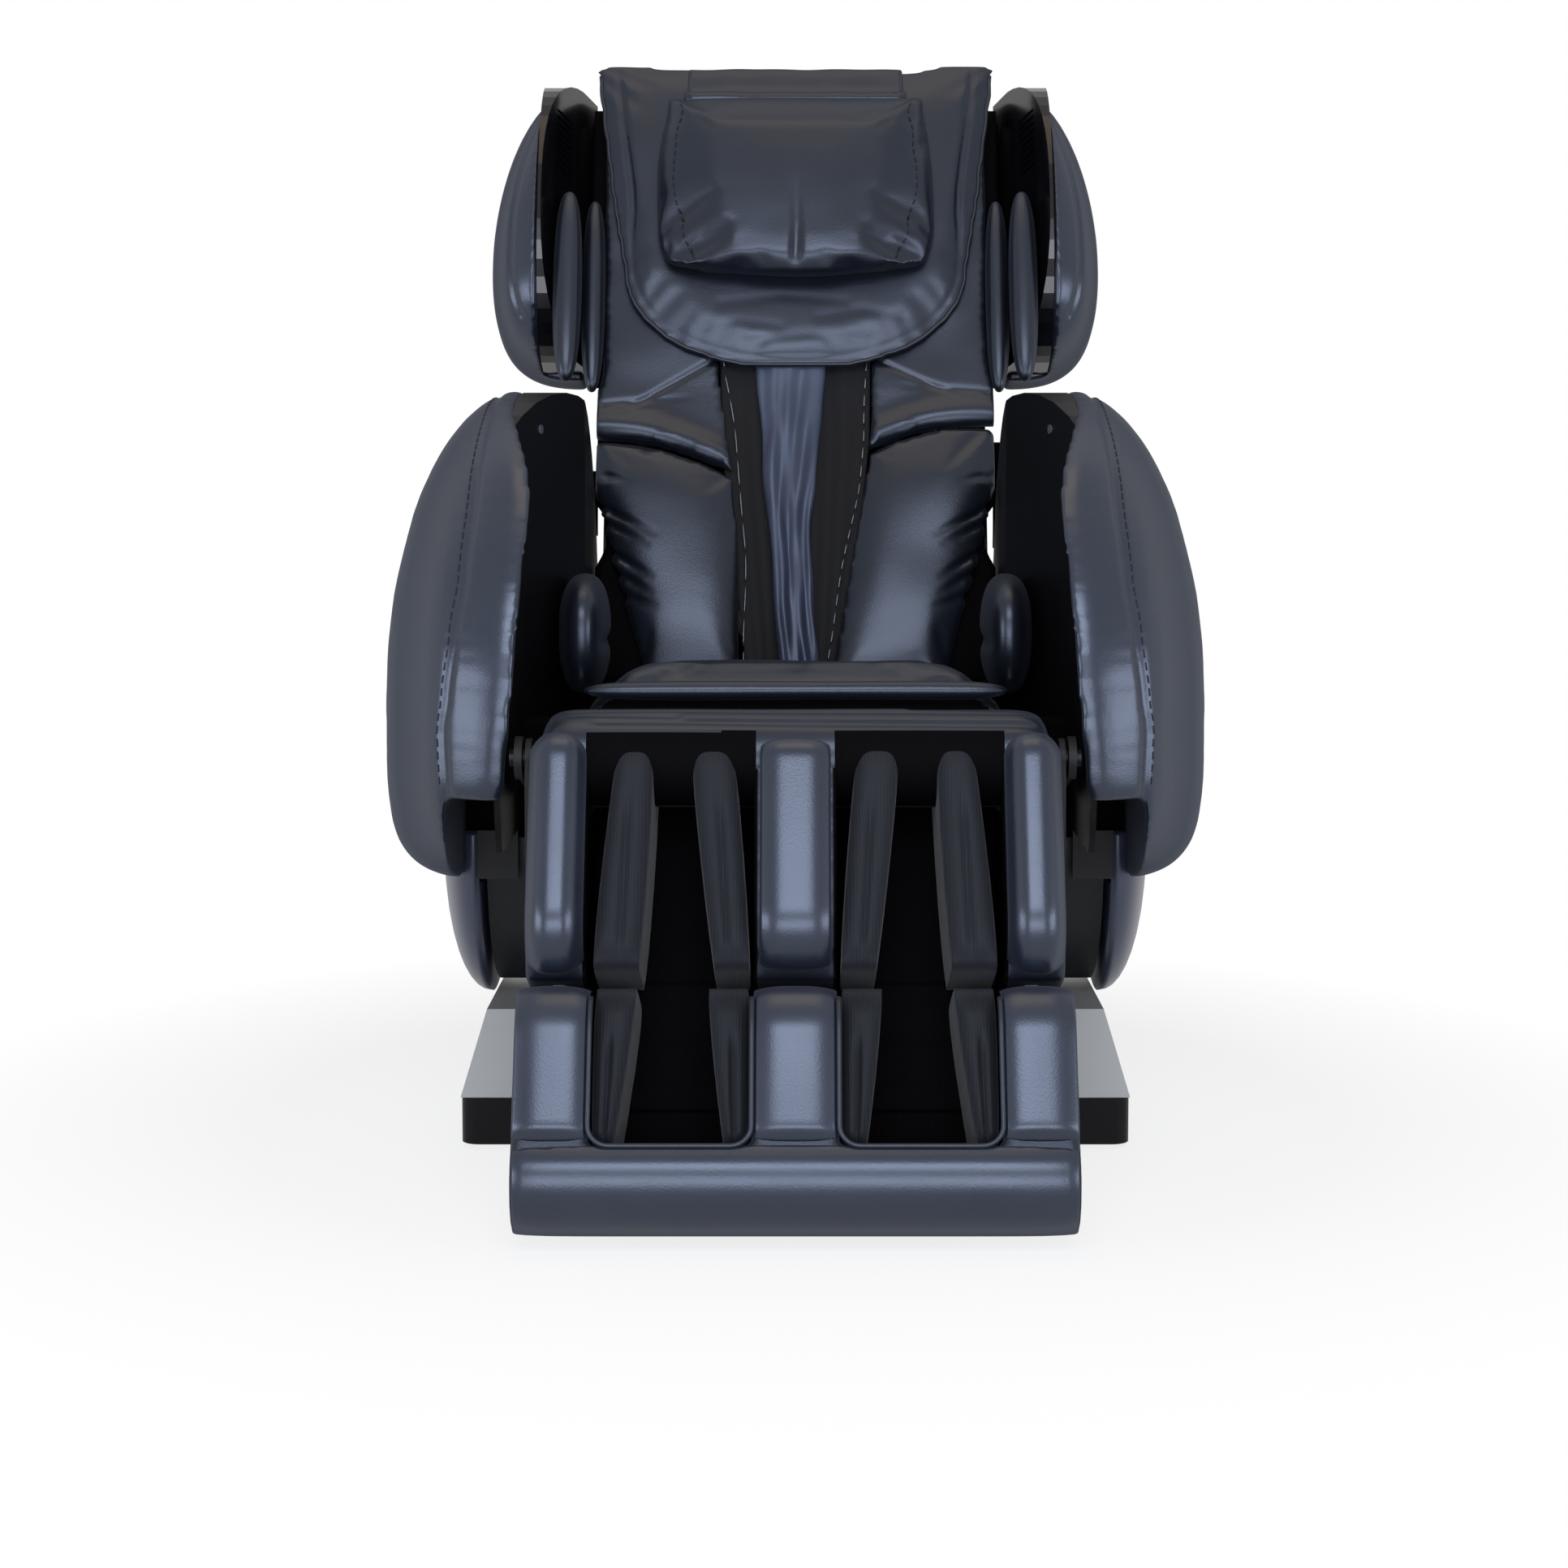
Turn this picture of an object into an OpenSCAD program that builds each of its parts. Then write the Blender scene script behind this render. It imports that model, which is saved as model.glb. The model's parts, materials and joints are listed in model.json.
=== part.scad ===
// Reclining massage chair: floor base, sliding carriage, tilting seat with arms,
// reclining back with a travelling roller unit, lifting leg rest and foot rest.
// X runs across the chair, Y from the toes (-) to the back (+), Z up. Millimetres.

/* [Arms] */
// Overall width over the arms
overall_w = 914; // [890:1:950]
// Height of the arm tops above the floor
arm_top_z = 832; // [800:1:840]
// Height at which the arms are widest
arm_wide_z = 470; // [460:1:480]
// Height of the underside of the padded arm band
arm_band_z = 353; // [350:1:357]
// Height of the lowest point of the outer arm lobe
arm_low_z = 289; // [280:1:300]
// How far the arms reach in front of their widest line
arm_front = 360; // [340:1:375]
// How far the arms reach behind their widest line
arm_rear = 290; // [270:1:300]
// Wall of the padded arm shells
arm_wall = 12; // [8:1:16]
// Wall of the gloss inner arm panels
panel_wall = 4; // [3:0.5:5]

/* [Back] */
// Lean of the back from upright, in degrees
back_lean = 20; // [18:0.5:22]
// Width of the back cushions
back_w = 472; // [464:1:474]
// Length of the back from the seat to its top
back_len = 800; // [780:1:820]
// Depth of the back from cushion face to rear cover
back_depth = 200; // [196:1:210]
// Thickness of the back cushions
back_foam = 64; // [60:1:64]
// Crown of the back cushions
back_crown = 14; // [6:1:18]
// Distance up the back at which the lumbar cushions end
lumbar_top = 312; // [300:1:330]
// Width of the head flap
flap_w = 506; // [490:1:510]
// Height of the pillow
pillow_h = 232; // [215:1:240]
// Width of the pillow
pillow_w = 347; // [320:1:360]
// Thickness of the pillow
pillow_t = 62; // [50:1:64]

/* [Shoulder pods] */
// Half the width over the shoulder pods
pod_x = 374; // [368:1:390]
// Distance up the back to the lower end of the pods
pod_low = 410; // [405:1:420]
// Distance up the back to the upper end of the pods
pod_high = 791; // [780:1:800]
// Wall of the pod shells
pod_wall = 4; // [3:0.5:6]

/* [Seat] */
// Width of the seat cushion
seat_w = 452; // [440:1:460]
// Height of the seat cushion's front roll
seat_z = 520; // [512:1:526]
// Crown of the seat cushion
seat_crown = 15; // [8:1:18]

/* [Leg rest] */
// Lean of the leg rest from upright, in degrees
leg_lean = 23.7; // [22:0.1:25]
// Width of the calf section
leg_w = 534; // [524:1:536]
// Width of the foot section
foot_w = 545; // [535:1:550]
// Length of the calf section below the knee hinge
calf_len = 235; // [225:1:240]
// Width of each calf and foot well
well_w = 162; // [155:1:166]
// Radius of the knee roll
knee_r = 46; // [42:1:47]
// Height of the foot section above the floor
foot_clear = 22; // [18:1:26]
// Stroke of the sliding foot section
foot_stroke = 100; // [80:1:100]

/* [Base] */
// Width over the floor rails
base_w = 730; // [720:1:736]
// Length of the floor rails
base_len = 610; // [590:1:630]
// Height of the floor rails
rail_h = 59; // [56:1:60]
// Height of the sloped base covers
cover_h = 89; // [80:1:89]
// Stroke of the sliding carriage
slide_stroke = 120; // [100:1:120]
// Radius of the transport wheels
wheel_r = 35; // [30:1:38]

/* [Mechanism] */
// Radius of the recline and knee pins
pin_r = 9; // [8:0.5:10]
// Radius of the tilt shaft
tilt_r = 10; // [9:0.5:12]
// Radius of the massage rollers
roller_r = 28; // [24:1:29]
// Radial clearance of every running fit
run_gap = 0.08; // [0.05:0.01:0.1]

/* [Hidden] */
$fn = 64;

// Gap left between pieces that only meet face to face
seat_gap = 0.3;
// Wall of the rear cover
cover_wall = 5;
// Reference line of the arms: the widest line lies here, front to back
arm_y = 40;
// Clearance between the back and the arms, and between the knee pins and the arms
side_clearance = 6;
pin_clearance = 9.5;
arm_gap = back_w + 2 * side_clearance;
// Place of the back's cushion face at seat height
back_y = 170;
back_z = 480;
// Recline pivot, measured up the back and into its depth
piv_s = -60;
piv_n = 80;
// Tilt pivot of the seat on the carriage
tilt_y = 60;
tilt_z = 330;
// Knee hinge of the leg rest
knee_y = -300;
knee_z = 452;
// Face of the leg rest in front of the knee hinge, and its back behind it
leg_face = 62;
leg_rear = 110;
// Sole of the foot wells, measured down the leg rest, and the toe bar below it
sole = 405;
foot_low = 500;
roller_drop = 8;
foot_roller_r = 15;
foot_shaft_r = 6;
toe_r = 58;
toe_bulge = 8;
toe_drop = 22;
// Rearmost and foremost points of the whole chair
toe_y = knee_y + (toe_r - leg_face - toe_bulge) * cos(leg_lean) - (sole + toe_drop) * sin(leg_lean) - toe_r;
tail_y = back_y + (back_len + 5) * sin(back_lean) + back_depth * cos(back_lean);
// Shift that puts the middle of the length at the origin
row_y = -(toe_y + tail_y) / 2;

leather = "#2b2e38";
gloss = "#0c0c0e";
steel = "#9a9da2";
frame_black = "#1d1e21";
grey_cover = "#adaeac";
knit = "#262831";

// ---------- helpers ----------

// Whole chair at its place in the row frame
module row() {
  translate([0, row_y, 0])
    children();
}

// Local frame of the back: Y into its depth, Z up along it
module in_back() {
  row()
    translate([0, back_y, back_z])
      rotate([-back_lean, 0, 0])
        children();
}

// Local frame of the leg rest: Y towards its back, Z up along it
module in_leg() {
  row()
    translate([0, knee_y, knee_z])
      rotate([-leg_lean, 0, 0])
        children();
}

module both_sides() {
  children();
  mirror([1, 0, 0])
    children();
}

// Extrude a YZ outline from x0 to x1
module along_x(x0, x1) {
  translate([x0, 0, 0])
    rotate([90, 0, 90])
      linear_extrude(x1 - x0)
        children();
}

// Extrude an XZ outline from y0 to y1
module along_y(y0, y1) {
  translate([0, y1, 0])
    rotate([90, 0, 0])
      linear_extrude(y1 - y0)
        children();
}

module rod_x(x0, x1, r) {
  translate([x0, 0, 0])
    rotate([0, 90, 0])
      cylinder(h = x1 - x0, r = r);
}

module rod_y(y0, y1, r) {
  translate([0, y1, 0])
    rotate([90, 0, 0])
      cylinder(h = y1 - y0, r = r);
}

module block(x0, x1, y0, y1, z0, z1) {
  translate([x0, y0, z0])
    cube([x1 - x0, y1 - y0, z1 - z0]);
}

function sgn(v) = v < 0 ? -1 : 1;
function power(v, p) = sgn(v) * pow(abs(v), 2 / p);
function mix(a, b, t) = a + (b - a) * t;
function hump(t, k) = 1 - pow(abs(2 * t - 1), k);

// Closed curve with its own reach and squareness in each quadrant
function quad_curve(px, nx, py, ny, up_p, low_p, step) = [
  for (a = [0:step:359])
    let (c = cos(a), s = sin(a), p = s < 0 ? low_p : up_p)
      [(c < 0 ? nx : px) * power(c, p), (s < 0 ? ny : py) * power(s, p)]
];

// Rounded block: the same oval seen from the front, the side and above
module soft_block(w, d, h, p = 3, step = 15) {
  intersection() {
    along_y(-d / 2, d / 2)
      polygon(quad_curve(w / 2, w / 2, h / 2, h / 2, p, p, step));
    along_x(-w / 2, w / 2)
      polygon(quad_curve(d / 2, d / 2, h / 2, h / 2, p, p, step));
    translate([0, 0, -h / 2])
      linear_extrude(h)
        polygon(quad_curve(w / 2, w / 2, d / 2, d / 2, p, p, step));
  }
}

// Solid between a front grid of points and a back grid of the same counts
module grid_solid(front, back) {
  nu = len(front) - 1;
  nv = len(front[0]) - 1;
  half = (nu + 1) * (nv + 1);
  function id(i, j) = i * (nv + 1) + j;
  function rim(k) =
    k < nu ? id(k, 0)
    : k < nu + nv ? id(nu, k - nu)
    : k < 2 * nu + nv ? id(2 * nu + nv - k, nv)
    : id(0, 2 * (nu + nv) - k);
  count = 2 * (nu + nv);
  polyhedron(
    points = concat([for (line = front) each line], [for (line = back) each line]),
    faces = concat(
      [for (i = [0:nu - 1], j = [0:nv - 1]) each [
        [id(i, j), id(i + 1, j + 1), id(i + 1, j)],
        [id(i, j), id(i, j + 1), id(i + 1, j + 1)]
      ]],
      [for (i = [0:nu - 1], j = [0:nv - 1]) each [
        [half + id(i, j), half + id(i + 1, j), half + id(i + 1, j + 1)],
        [half + id(i, j), half + id(i + 1, j + 1), half + id(i, j + 1)]
      ]],
      [for (k = [0:count - 1]) each [
        [rim(k), rim((k + 1) % count), half + rim((k + 1) % count)],
        [rim(k), half + rim((k + 1) % count), half + rim(k)]
      ]]
    )
  );
}

// Cushion on the XY plane, crowned along +Z.
// low and high are its X limits at the near and far ends; y0, y1 those ends.
// pull = [sides, near end, far end] draws each edge in between its corners;
// grooves are [place, depth, half width] across the cushion (seam_y) or along it (seam_x).
module cushion(low, high, y0, y1, t, crown, pull, nu, nv, seam_x = [], seam_y = [], k = 4) {
  function px(u, v) =
    mix(mix(low[0], high[0], v) + pull[0] * sin(180 * v),
        mix(low[1], high[1], v) - pull[0] * sin(180 * v), u);
  function py(u, v) = mix(y0 + pull[1] * sin(180 * u), y1 - pull[2] * sin(180 * u), v);
  function groove(at, list) =
    len(list) == 0 ? 0
    : max([for (g = list) g[1] * exp(-pow((at - g[0]) / g[2], 2))]);
  front = [for (i = [0:nu]) [for (j = [0:nv])
    let (
      u = i / nu,
      v = j / nv,
      x = px(u, v),
      y = py(u, v)
    )
      [x, y, t + crown * hump(u, k) * hump(v, k) - groove(x, seam_x) - groove(y, seam_y)]
  ]];
  back = [for (i = [0:nu]) [for (j = [0:nv])
    [px(i / nu, j / nv), py(i / nu, j / nv), 0]
  ]];
  grid_solid(front, back);
}

// ---------- floor base ----------

base_front = -130;
base_rear = base_front + base_len;
beam_x = 270;
beam_w = 40;
beam_top = 60;
beam_front = base_front + 40;
beam_rear = base_rear - 40;
tube_z = 20;
rail_w = 65;
feet_h = 8;
wheel_y = beam_rear + wheel_r + 3;
wheel_x = 205;
wheel_w = 30;
wheel_z = wheel_r + 4;
axle_r = 6;

module base_frame() {
  color(frame_black) row() {
    for (y = [beam_front, beam_rear - beam_w])
      block(-base_w / 2 + rail_w, base_w / 2 - rail_w, y, y + beam_w, tube_z, rail_h);
    for (s = [-1, 1]) {
      translate([s * beam_x, 0, 0])
        block(-beam_w / 2, beam_w / 2, beam_front, beam_rear, tube_z, beam_top);
      for (e = [-1, 1])
        translate([s * wheel_x + e * (wheel_w / 2 + 5), 0, 0])
          block(-3, 3, beam_rear - 1, wheel_y + 10, wheel_z - 12, wheel_z + 12);
      translate([s * wheel_x, wheel_y, wheel_z])
        rod_x(-wheel_w / 2 - 6, wheel_w / 2 + 6, axle_r);
    }
  }
}

module transport_wheel(s) {
  color(frame_black) row()
    translate([s * wheel_x, wheel_y, wheel_z])
      difference() {
        union() {
          rod_x(-wheel_w / 2 + 3, wheel_w / 2 - 3, wheel_r);
          rod_x(-wheel_w / 2, wheel_w / 2, wheel_r * 0.45);
        }
        rod_x(-wheel_w, wheel_w, axle_r + run_gap);
      }
}
module transport_wheel_left() {
  transport_wheel(1);
}
module transport_wheel_right() {
  transport_wheel(-1);
}

// Black floor rails with rounded ends
module foot_rails() {
  color(gloss) row() both_sides() {
    x0 = base_w / 2 - rail_w;
    translate([x0, 0, feet_h])
      linear_extrude(rail_h - feet_h)
        for (y = [base_front, base_rear - 40]) {
          translate([rail_w - 20, y + 20])
            circle(r = 20);
          translate([0, y])
            square([rail_w - 20, 40]);
          translate([0, base_front + 20])
            square([rail_w, base_len - 40]);
        }
  }
}

module rubber_feet() {
  color("#161618") row()
    for (s = [-1, 1], y = [base_front + 60, base_rear - 60])
      translate([s * (base_w / 2 - rail_w / 2), y, 0])
        cylinder(h = feet_h, r = 22);
}

cover_slope = 25;

// Sloped grey cover over one floor rail
module base_cover(s) {
  color(grey_cover) row() {
    x1 = base_w / 2;
    x0 = x1 - rail_w;
    top = rail_h + cover_h;
    wall = 3;
    mirror([s < 0 ? 1 : 0, 0, 0])
      difference() {
        intersection() {
          along_y(base_front, base_rear)
            polygon([[x0, rail_h], [x1, rail_h], [x1 - cover_slope, top], [x0, top]]);
          along_x(x0, x1)
            polygon([[base_front + 4, rail_h], [base_rear - 4, rail_h],
                     [base_rear - 60, top], [base_front + 46, top]]);
        }
        intersection() {
          along_y(base_front, base_rear)
            polygon([[x0 - wall, rail_h - wall], [x1 - wall * 1.6, rail_h - wall],
                     [x1 - cover_slope - wall * 1.2, top - wall], [x0 - wall, top - wall]]);
          along_x(x0 - wall, x1)
            polygon([[base_front + 8, rail_h - wall], [base_rear - 8, rail_h - wall],
                     [base_rear - 62, top - wall], [base_front + 48, top - wall]]);
        }
      }
  }
}
module base_cover_left() {
  base_cover(1);
}
module base_cover_right() {
  base_cover(-1);
}

guide_w = 20;
guide_h = 16;

module slide_rails() {
  color(steel) row() both_sides()
    translate([beam_x, 0, beam_top])
      difference() {
        block(-guide_w / 2, guide_w / 2, beam_front + 4, beam_rear - 4, 0, guide_h);
        for (y = [beam_front + 40:90:beam_rear - 30])
          translate([0, y, -1])
            cylinder(h = guide_h + 2, r = 2.5);
      }
}

screw_r = 8;
screw_z = 82;
drive_y0 = beam_front + beam_w / 2;

// Slide motor with its screw, held on the front and rear cross beams
module slide_drive() {
  color(steel) row() {
    translate([0, 0, screw_z])
      rod_y(drive_y0, beam_rear - beam_w / 2 - 30, screw_r);
    block(-18, 18, drive_y0 - 12, drive_y0 + 12, rail_h + seat_gap, screw_z + 12);
    block(-30, 30, beam_rear - beam_w - 10, beam_rear - 2, rail_h + seat_gap, screw_z + 22);
  }
}

tray_z = 96;
tray_t = 8;
tray_y0 = 30;
tray_y1 = 330;

module control_box() {
  color(frame_black) row()
    difference() {
      block(60, 235, tray_y1 + 14, beam_rear - 2, rail_h + seat_gap, 122);
      block(63, 232, tray_y1 + 17, beam_rear - 5, rail_h + seat_gap + 3, 119);
    }
}

module power_inlet() {
  color(gloss) row()
    translate([150, beam_rear - 2, 92])
      difference() {
        block(-26, 26, 0, 8, -18, 18);
        block(-22, 2, 2, 9, -11, 11);
        block(9, 21, 3, 9, -9, 9);
      }
}

// ---------- sliding carriage ----------

carriage_y = [60, 270];
slider_len = 50;
tower_x = 180;
tower_t = 10;

module carriage_frame() {
  color(frame_black) row() {
    difference() {
      union() {
        block(-290, 290, tray_y0, tray_y1, tray_z, tray_z + tray_t);
        both_sides() {
          for (y = carriage_y)
            translate([beam_x, y, 0])
              difference() {
                block(-20, 20, 0, slider_len, beam_top + 2, tray_z);
                block(-guide_w / 2 - run_gap, guide_w / 2 + run_gap, -1, slider_len + 1,
                      beam_top, beam_top + guide_h + run_gap);
              }
          along_x(tower_x, tower_x + tower_t)
            difference() {
              union() {
                polygon([[tray_y0 + 2, tray_z + 2], [tray_y0 + 170, tray_z + 2],
                         [tilt_y + 22, tilt_z], [tilt_y - 22, tilt_z]]);
                translate([tilt_y, tilt_z])
                  circle(r = 24);
              }
              translate([tilt_y + 20, tray_z + 80])
                circle(r = 26);
            }
        }
        block(-24, 24, 150, 190, screw_z - 12, tray_z + 1);
        block(-tower_x - 1, tower_x + 1, tray_y0 + 20, tray_y0 + 26, tray_z, tray_z + 70);
      }
      translate([0, 0, screw_z])
        rod_y(140, 200, screw_r + run_gap);
      both_sides()
        translate([0, tilt_y, tilt_z])
          rod_x(tower_x - 20, tower_x + 20, tilt_r);
    }
  }
}

tilt_end = 216;

module tilt_pins() {
  color(steel) row() both_sides()
    translate([0, tilt_y, tilt_z])
      rod_x(tower_x - 8, tilt_end, tilt_r);
}

module air_pump() {
  color("#3a3b3f") row() {
    block(-80, 60, 120, 250, tray_z + tray_t, tray_z + 70);
    translate([-50, 0, tray_z + 84])
      rod_y(130, 240, 22);
    translate([15, 0, tray_z + 84])
      rod_y(130, 240, 22);
    block(85, 160, 140, 300, tray_z + tray_t, tray_z + 50);
    for (k = [0:4])
      translate([122, 155 + 32 * k, tray_z + 49])
        cylinder(h = 14, r = 6);
  }
}

// ---------- seat ----------

pan_z = 428;
pan_t = 6;
tube_h = 32;
tube_low = pan_z - tube_h;
pan_front = -230;
pan_rear = 140;
cross_y = [-180, -90, 95];
knee_plate_x = leg_w / 2 + 9.5;
knee_plate_t = 8;
knee_pin_end = knee_plate_x + knee_plate_t + 6;
hinge_x = back_w / 2 - 14;
hinge_t = 8;
side_tube = [seat_w / 2 - 26, seat_w / 2 + 4];
piv_y = back_y + piv_s * sin(back_lean) + piv_n * cos(back_lean);
piv_z = back_z + piv_s * cos(back_lean) - piv_n * sin(back_lean);
act_y = -75;
act_z = 376;

// Welded seat frame: pan, rails, cross tubes, recline, knee and tilt plates
module seat_frame() {
  color(frame_black) row() {
    block(-seat_w / 2 + 2, seat_w / 2 - 2, pan_front, pan_rear, pan_z, pan_z + pan_t);
    for (y = cross_y)
      block(-side_tube[0], side_tube[0], y, y + 30, tube_low, pan_z);
    block(-hinge_x - hinge_t, hinge_x + hinge_t, cross_y[2], cross_y[2] + 30, tube_low, pan_z);
    both_sides()
      block(side_tube[0], side_tube[1], cross_y[0], pan_rear + 10, tube_low, pan_z);
    both_sides()
      block(side_tube[1] - 1, knee_plate_x + knee_plate_t, cross_y[0], cross_y[0] + 30, tube_low, pan_z);
    both_sides()
      along_x(knee_plate_x, knee_plate_x + knee_plate_t)
        difference() {
          union() {
            polygon([[knee_y - 8, knee_z + 18], [cross_y[0] + 30, pan_z],
                     [cross_y[0] + 30, tube_low], [knee_y + 4, knee_z - 20]]);
            translate([knee_y, knee_z])
              circle(r = 22);
          }
          translate([knee_y, knee_z])
            circle(r = pin_r);
        }
    both_sides()
      along_x(hinge_x, hinge_x + hinge_t)
        difference() {
          union() {
            polygon([[pan_rear - 30, pan_z], [piv_y + 5, piv_z + 26],
                     [piv_y + 5, piv_z - 26], [pan_rear - 30, tube_low]]);
            translate([piv_y, piv_z])
              circle(r = 26);
          }
          translate([piv_y, piv_z])
            circle(r = pin_r);
        }
    both_sides()
      along_x(tower_x + tower_t + 6, tower_x + tower_t + 14)
        difference() {
          union() {
            polygon([[tilt_y - 70, pan_z - 1], [tilt_y + 70, pan_z - 1],
                     [tilt_y + 24, tilt_z], [tilt_y - 24, tilt_z]]);
            translate([tilt_y, tilt_z])
              circle(r = 24);
          }
          translate([tilt_y, tilt_z])
            circle(r = tilt_r + run_gap);
        }
    for (s = [-1, 1])
      translate([s * 16, 0, 0])
        along_x(-3, 3)
          difference() {
            polygon([[act_y - 16, tube_low + 1], [act_y + 16, tube_low + 1],
                     [act_y + 12, act_z - 14], [act_y - 12, act_z - 14]]);
            translate([act_y, act_z])
              circle(r = 6);
          }
    translate([0, act_y, act_z])
      rod_x(-18, 18, 6);
  }
}

seat_front_y = -246;
seat_rear_y = 150;
cushion_z = pan_z + pan_t + seat_gap;

// Seat cushion with its front roll and two sewn channels across the sides
module seat_cushion() {
  color(leather) row()
    translate([0, 0, cushion_z])
      cushion([-seat_w / 2, seat_w / 2], [-seat_w / 2, seat_w / 2],
              seat_front_y, seat_rear_y, seat_z - 18 - cushion_z, seat_crown, [8, 4, 4], 22, 20,
              seam_x = [[-seat_w / 2 + 60, 8, 12], [seat_w / 2 - 60, 8, 12]],
              seam_y = [[seat_front_y + 78, 14, 14]], k = 6);
}

arm_gap_front = 2 * (knee_pin_end + pin_clearance);
arm_x = arm_gap_front / 2 + 6;
band_x = arm_x + 96;
arm_step = 6;
plan_y = [-120, 100];

function arm_side(d) = quad_curve(arm_rear - d, arm_front - d, arm_top_z - arm_wide_z - d,
                                  arm_wide_z - arm_low_z - d, 2.05, 3.6, 7.5);
function arm_face(d) = quad_curve(overall_w / 2 - arm_x + 6 - d, 60, arm_top_z - arm_wide_z - d,
                                  arm_wide_z - arm_low_z - d, 2.05, 4, 7.5);

function arm_top(d) = quad_curve(overall_w / 2 - arm_x + 6 - d, 60, arm_rear - d + 12,
                                 arm_front - d + 12, 2.1, 2.1, 7.5);

// Body of one arm, d inside its outer face
module arm_body(d) {
  intersection() {
    linear_extrude(1000)
      translate([arm_x - 6, arm_y])
        polygon(arm_top(d));
    along_x(0, overall_w)
      translate([arm_y, arm_wide_z])
        polygon(arm_side(d));
    along_y(-600, 600)
      translate([arm_x - 6, arm_wide_z])
        polygon(arm_face(d));
  }
}

// Padded outer shell of one arm, open towards the inner panel
module arm_shell(s) {
  color(leather) row()
    mirror([s < 0 ? 1 : 0, 0, 0])
      difference() {
        arm_body(0);
        arm_body(arm_wall);
        block(0, arm_x + seat_gap, -600, 600, 0, 1000);
        block(0, band_x, -600, 600, 0, arm_band_z);
      }
}
module arm_shell_left() {
  arm_shell(1);
}
module arm_shell_right() {
  arm_shell(-1);
}

// Outline of the inner panel seen from above, d inside its faces
module arm_plan(d) {
  x0 = arm_gap / 2 + d;
  x1 = arm_gap_front / 2 + d / 2;
  x2 = arm_x;
  polygon([[x1, -500], [x2, -500], [x2, 500], [x0, 500], [x0, plan_y[1]], [x1, plan_y[0]]]);
}

// Body of the inner panel, d inside its faces
module inner_body(d) {
  intersection() {
    linear_extrude(1000)
      arm_plan(d);
    along_x(0, overall_w)
      translate([arm_y, arm_wide_z])
        polygon(arm_side(arm_step + d));
    block(0, 500, -500, 500, arm_band_z + d, 1000);
  }
}

// Gloss panel that closes the arm towards the sitter
module arm_inner(s) {
  color(gloss) row()
    mirror([s < 0 ? 1 : 0, 0, 0])
      difference() {
        inner_body(0);
        intersection() {
          inner_body(panel_wall);
          block(0, 500, plan_y[0] + 30, 500, 0, 1000);
        }
      }
}
module arm_inner_left() {
  arm_inner(1);
}
module arm_inner_right() {
  arm_inner(-1);
}

lamp_r = 5;
lamp_z = 785;
lamp_y = -45;

// Small round lamps on the slanted faces of the inner panels
module arm_lamps() {
  turn = atan2(arm_gap_front / 2 - arm_gap / 2, plan_y[1] - plan_y[0]);
  face = mix(arm_gap_front / 2, arm_gap / 2, (lamp_y - plan_y[0]) / (plan_y[1] - plan_y[0]));
  color("#e8eef5") row() both_sides()
    translate([face, lamp_y, lamp_z])
      rotate([0, 0, turn])
        rod_x(-2, -0.1, lamp_r);
}

side_r = 186;
side_bulge = 53;
bracket_x = arm_x + 38;
bracket_y = [-60, 150];

// Steel brackets that carry the arms and side covers on the seat frame
module arm_brackets() {
  color(frame_black) row() both_sides() {
    for (y = bracket_y)
      block(side_tube[1] + seat_gap, bracket_x, y, y + 40, arm_band_z - 10, arm_band_z - seat_gap);
    for (y = bracket_y)
      block(side_tube[1] + seat_gap, side_tube[1] + 6, y, y + 40, arm_band_z - 10, pan_z);
    block(bracket_x - 8, bracket_x, tilt_y - side_r - 2, tilt_y + side_r + 2,
          300, arm_band_z - seat_gap);
    block(arm_x - 6, bracket_x - 7, tilt_y - side_r - 2, tilt_y - side_r + 6,
          300, arm_band_z - seat_gap);
  }
}

guard_r = 172;
guard_wall = 3;
guard_x = arm_x - 14;

// Body of one guard, d inside its faces and open towards the side cover
module guard_body(d) {
  intersection() {
    translate([guard_x + d, tilt_y, tilt_z])
      rotate([0, 90, 0])
        cylinder(h = bracket_x - 8 - seat_gap - guard_x, r = guard_r - d);
    block(0, 500, -600, 600, 0, arm_band_z - 10 - seat_gap - d);
  }
}

// Black moulded guard that closes the gap between a side cover and the leg rest
module side_guard(s) {
  color(frame_black) row()
    mirror([s < 0 ? 1 : 0, 0, 0])
      difference() {
        guard_body(0);
        guard_body(guard_wall);
      }
}
module side_guard_left() {
  side_guard(1);
}
module side_guard_right() {
  side_guard(-1);
}

// Domed side cover below the arm, round about the tilt shaft
module side_cover(s) {
  color("#4a4f5e") row()
    mirror([s < 0 ? 1 : 0, 0, 0])
      translate([bracket_x + seat_gap, tilt_y, tilt_z])
        intersection() {
          difference() {
            rotate([0, 90, 0])
              cylinder(h = side_bulge, r1 = side_r, r2 = side_r * 0.72);
            translate([-4, 0, 0])
              rotate([0, 90, 0])
                cylinder(h = side_bulge, r1 = side_r - 4, r2 = side_r * 0.72 - 4);
          }
          block(0, 100, -300, 300, -300, arm_band_z - 4 - tilt_z);
        }
}
module side_cover_left() {
  side_cover(1);
}
module side_cover_right() {
  side_cover(-1);
}

// Hip airbag pads on the arm panels, beside the sitter's hips
module hip_pads() {
  color(leather) row() both_sides()
    difference() {
      translate([seat_w / 2 + 30, 20, seat_z + 36])
        soft_block(84, 150, 130, 3, 15);
      linear_extrude(1000)
        translate([-seat_gap, 0])
          arm_plan(0);
    }
}

// Recline and knee pins pressed into the seat frame
module pivot_pins() {
  color(steel) row() both_sides() {
    translate([0, knee_y, knee_z])
      rod_x(leg_w / 2 + 0.4, knee_pin_end, pin_r);
    translate([0, piv_y, piv_z])
      rod_x(hinge_x - 14, hinge_x + hinge_t + 2, pin_r);
  }
}

// ---------- recline actuator ----------

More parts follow.
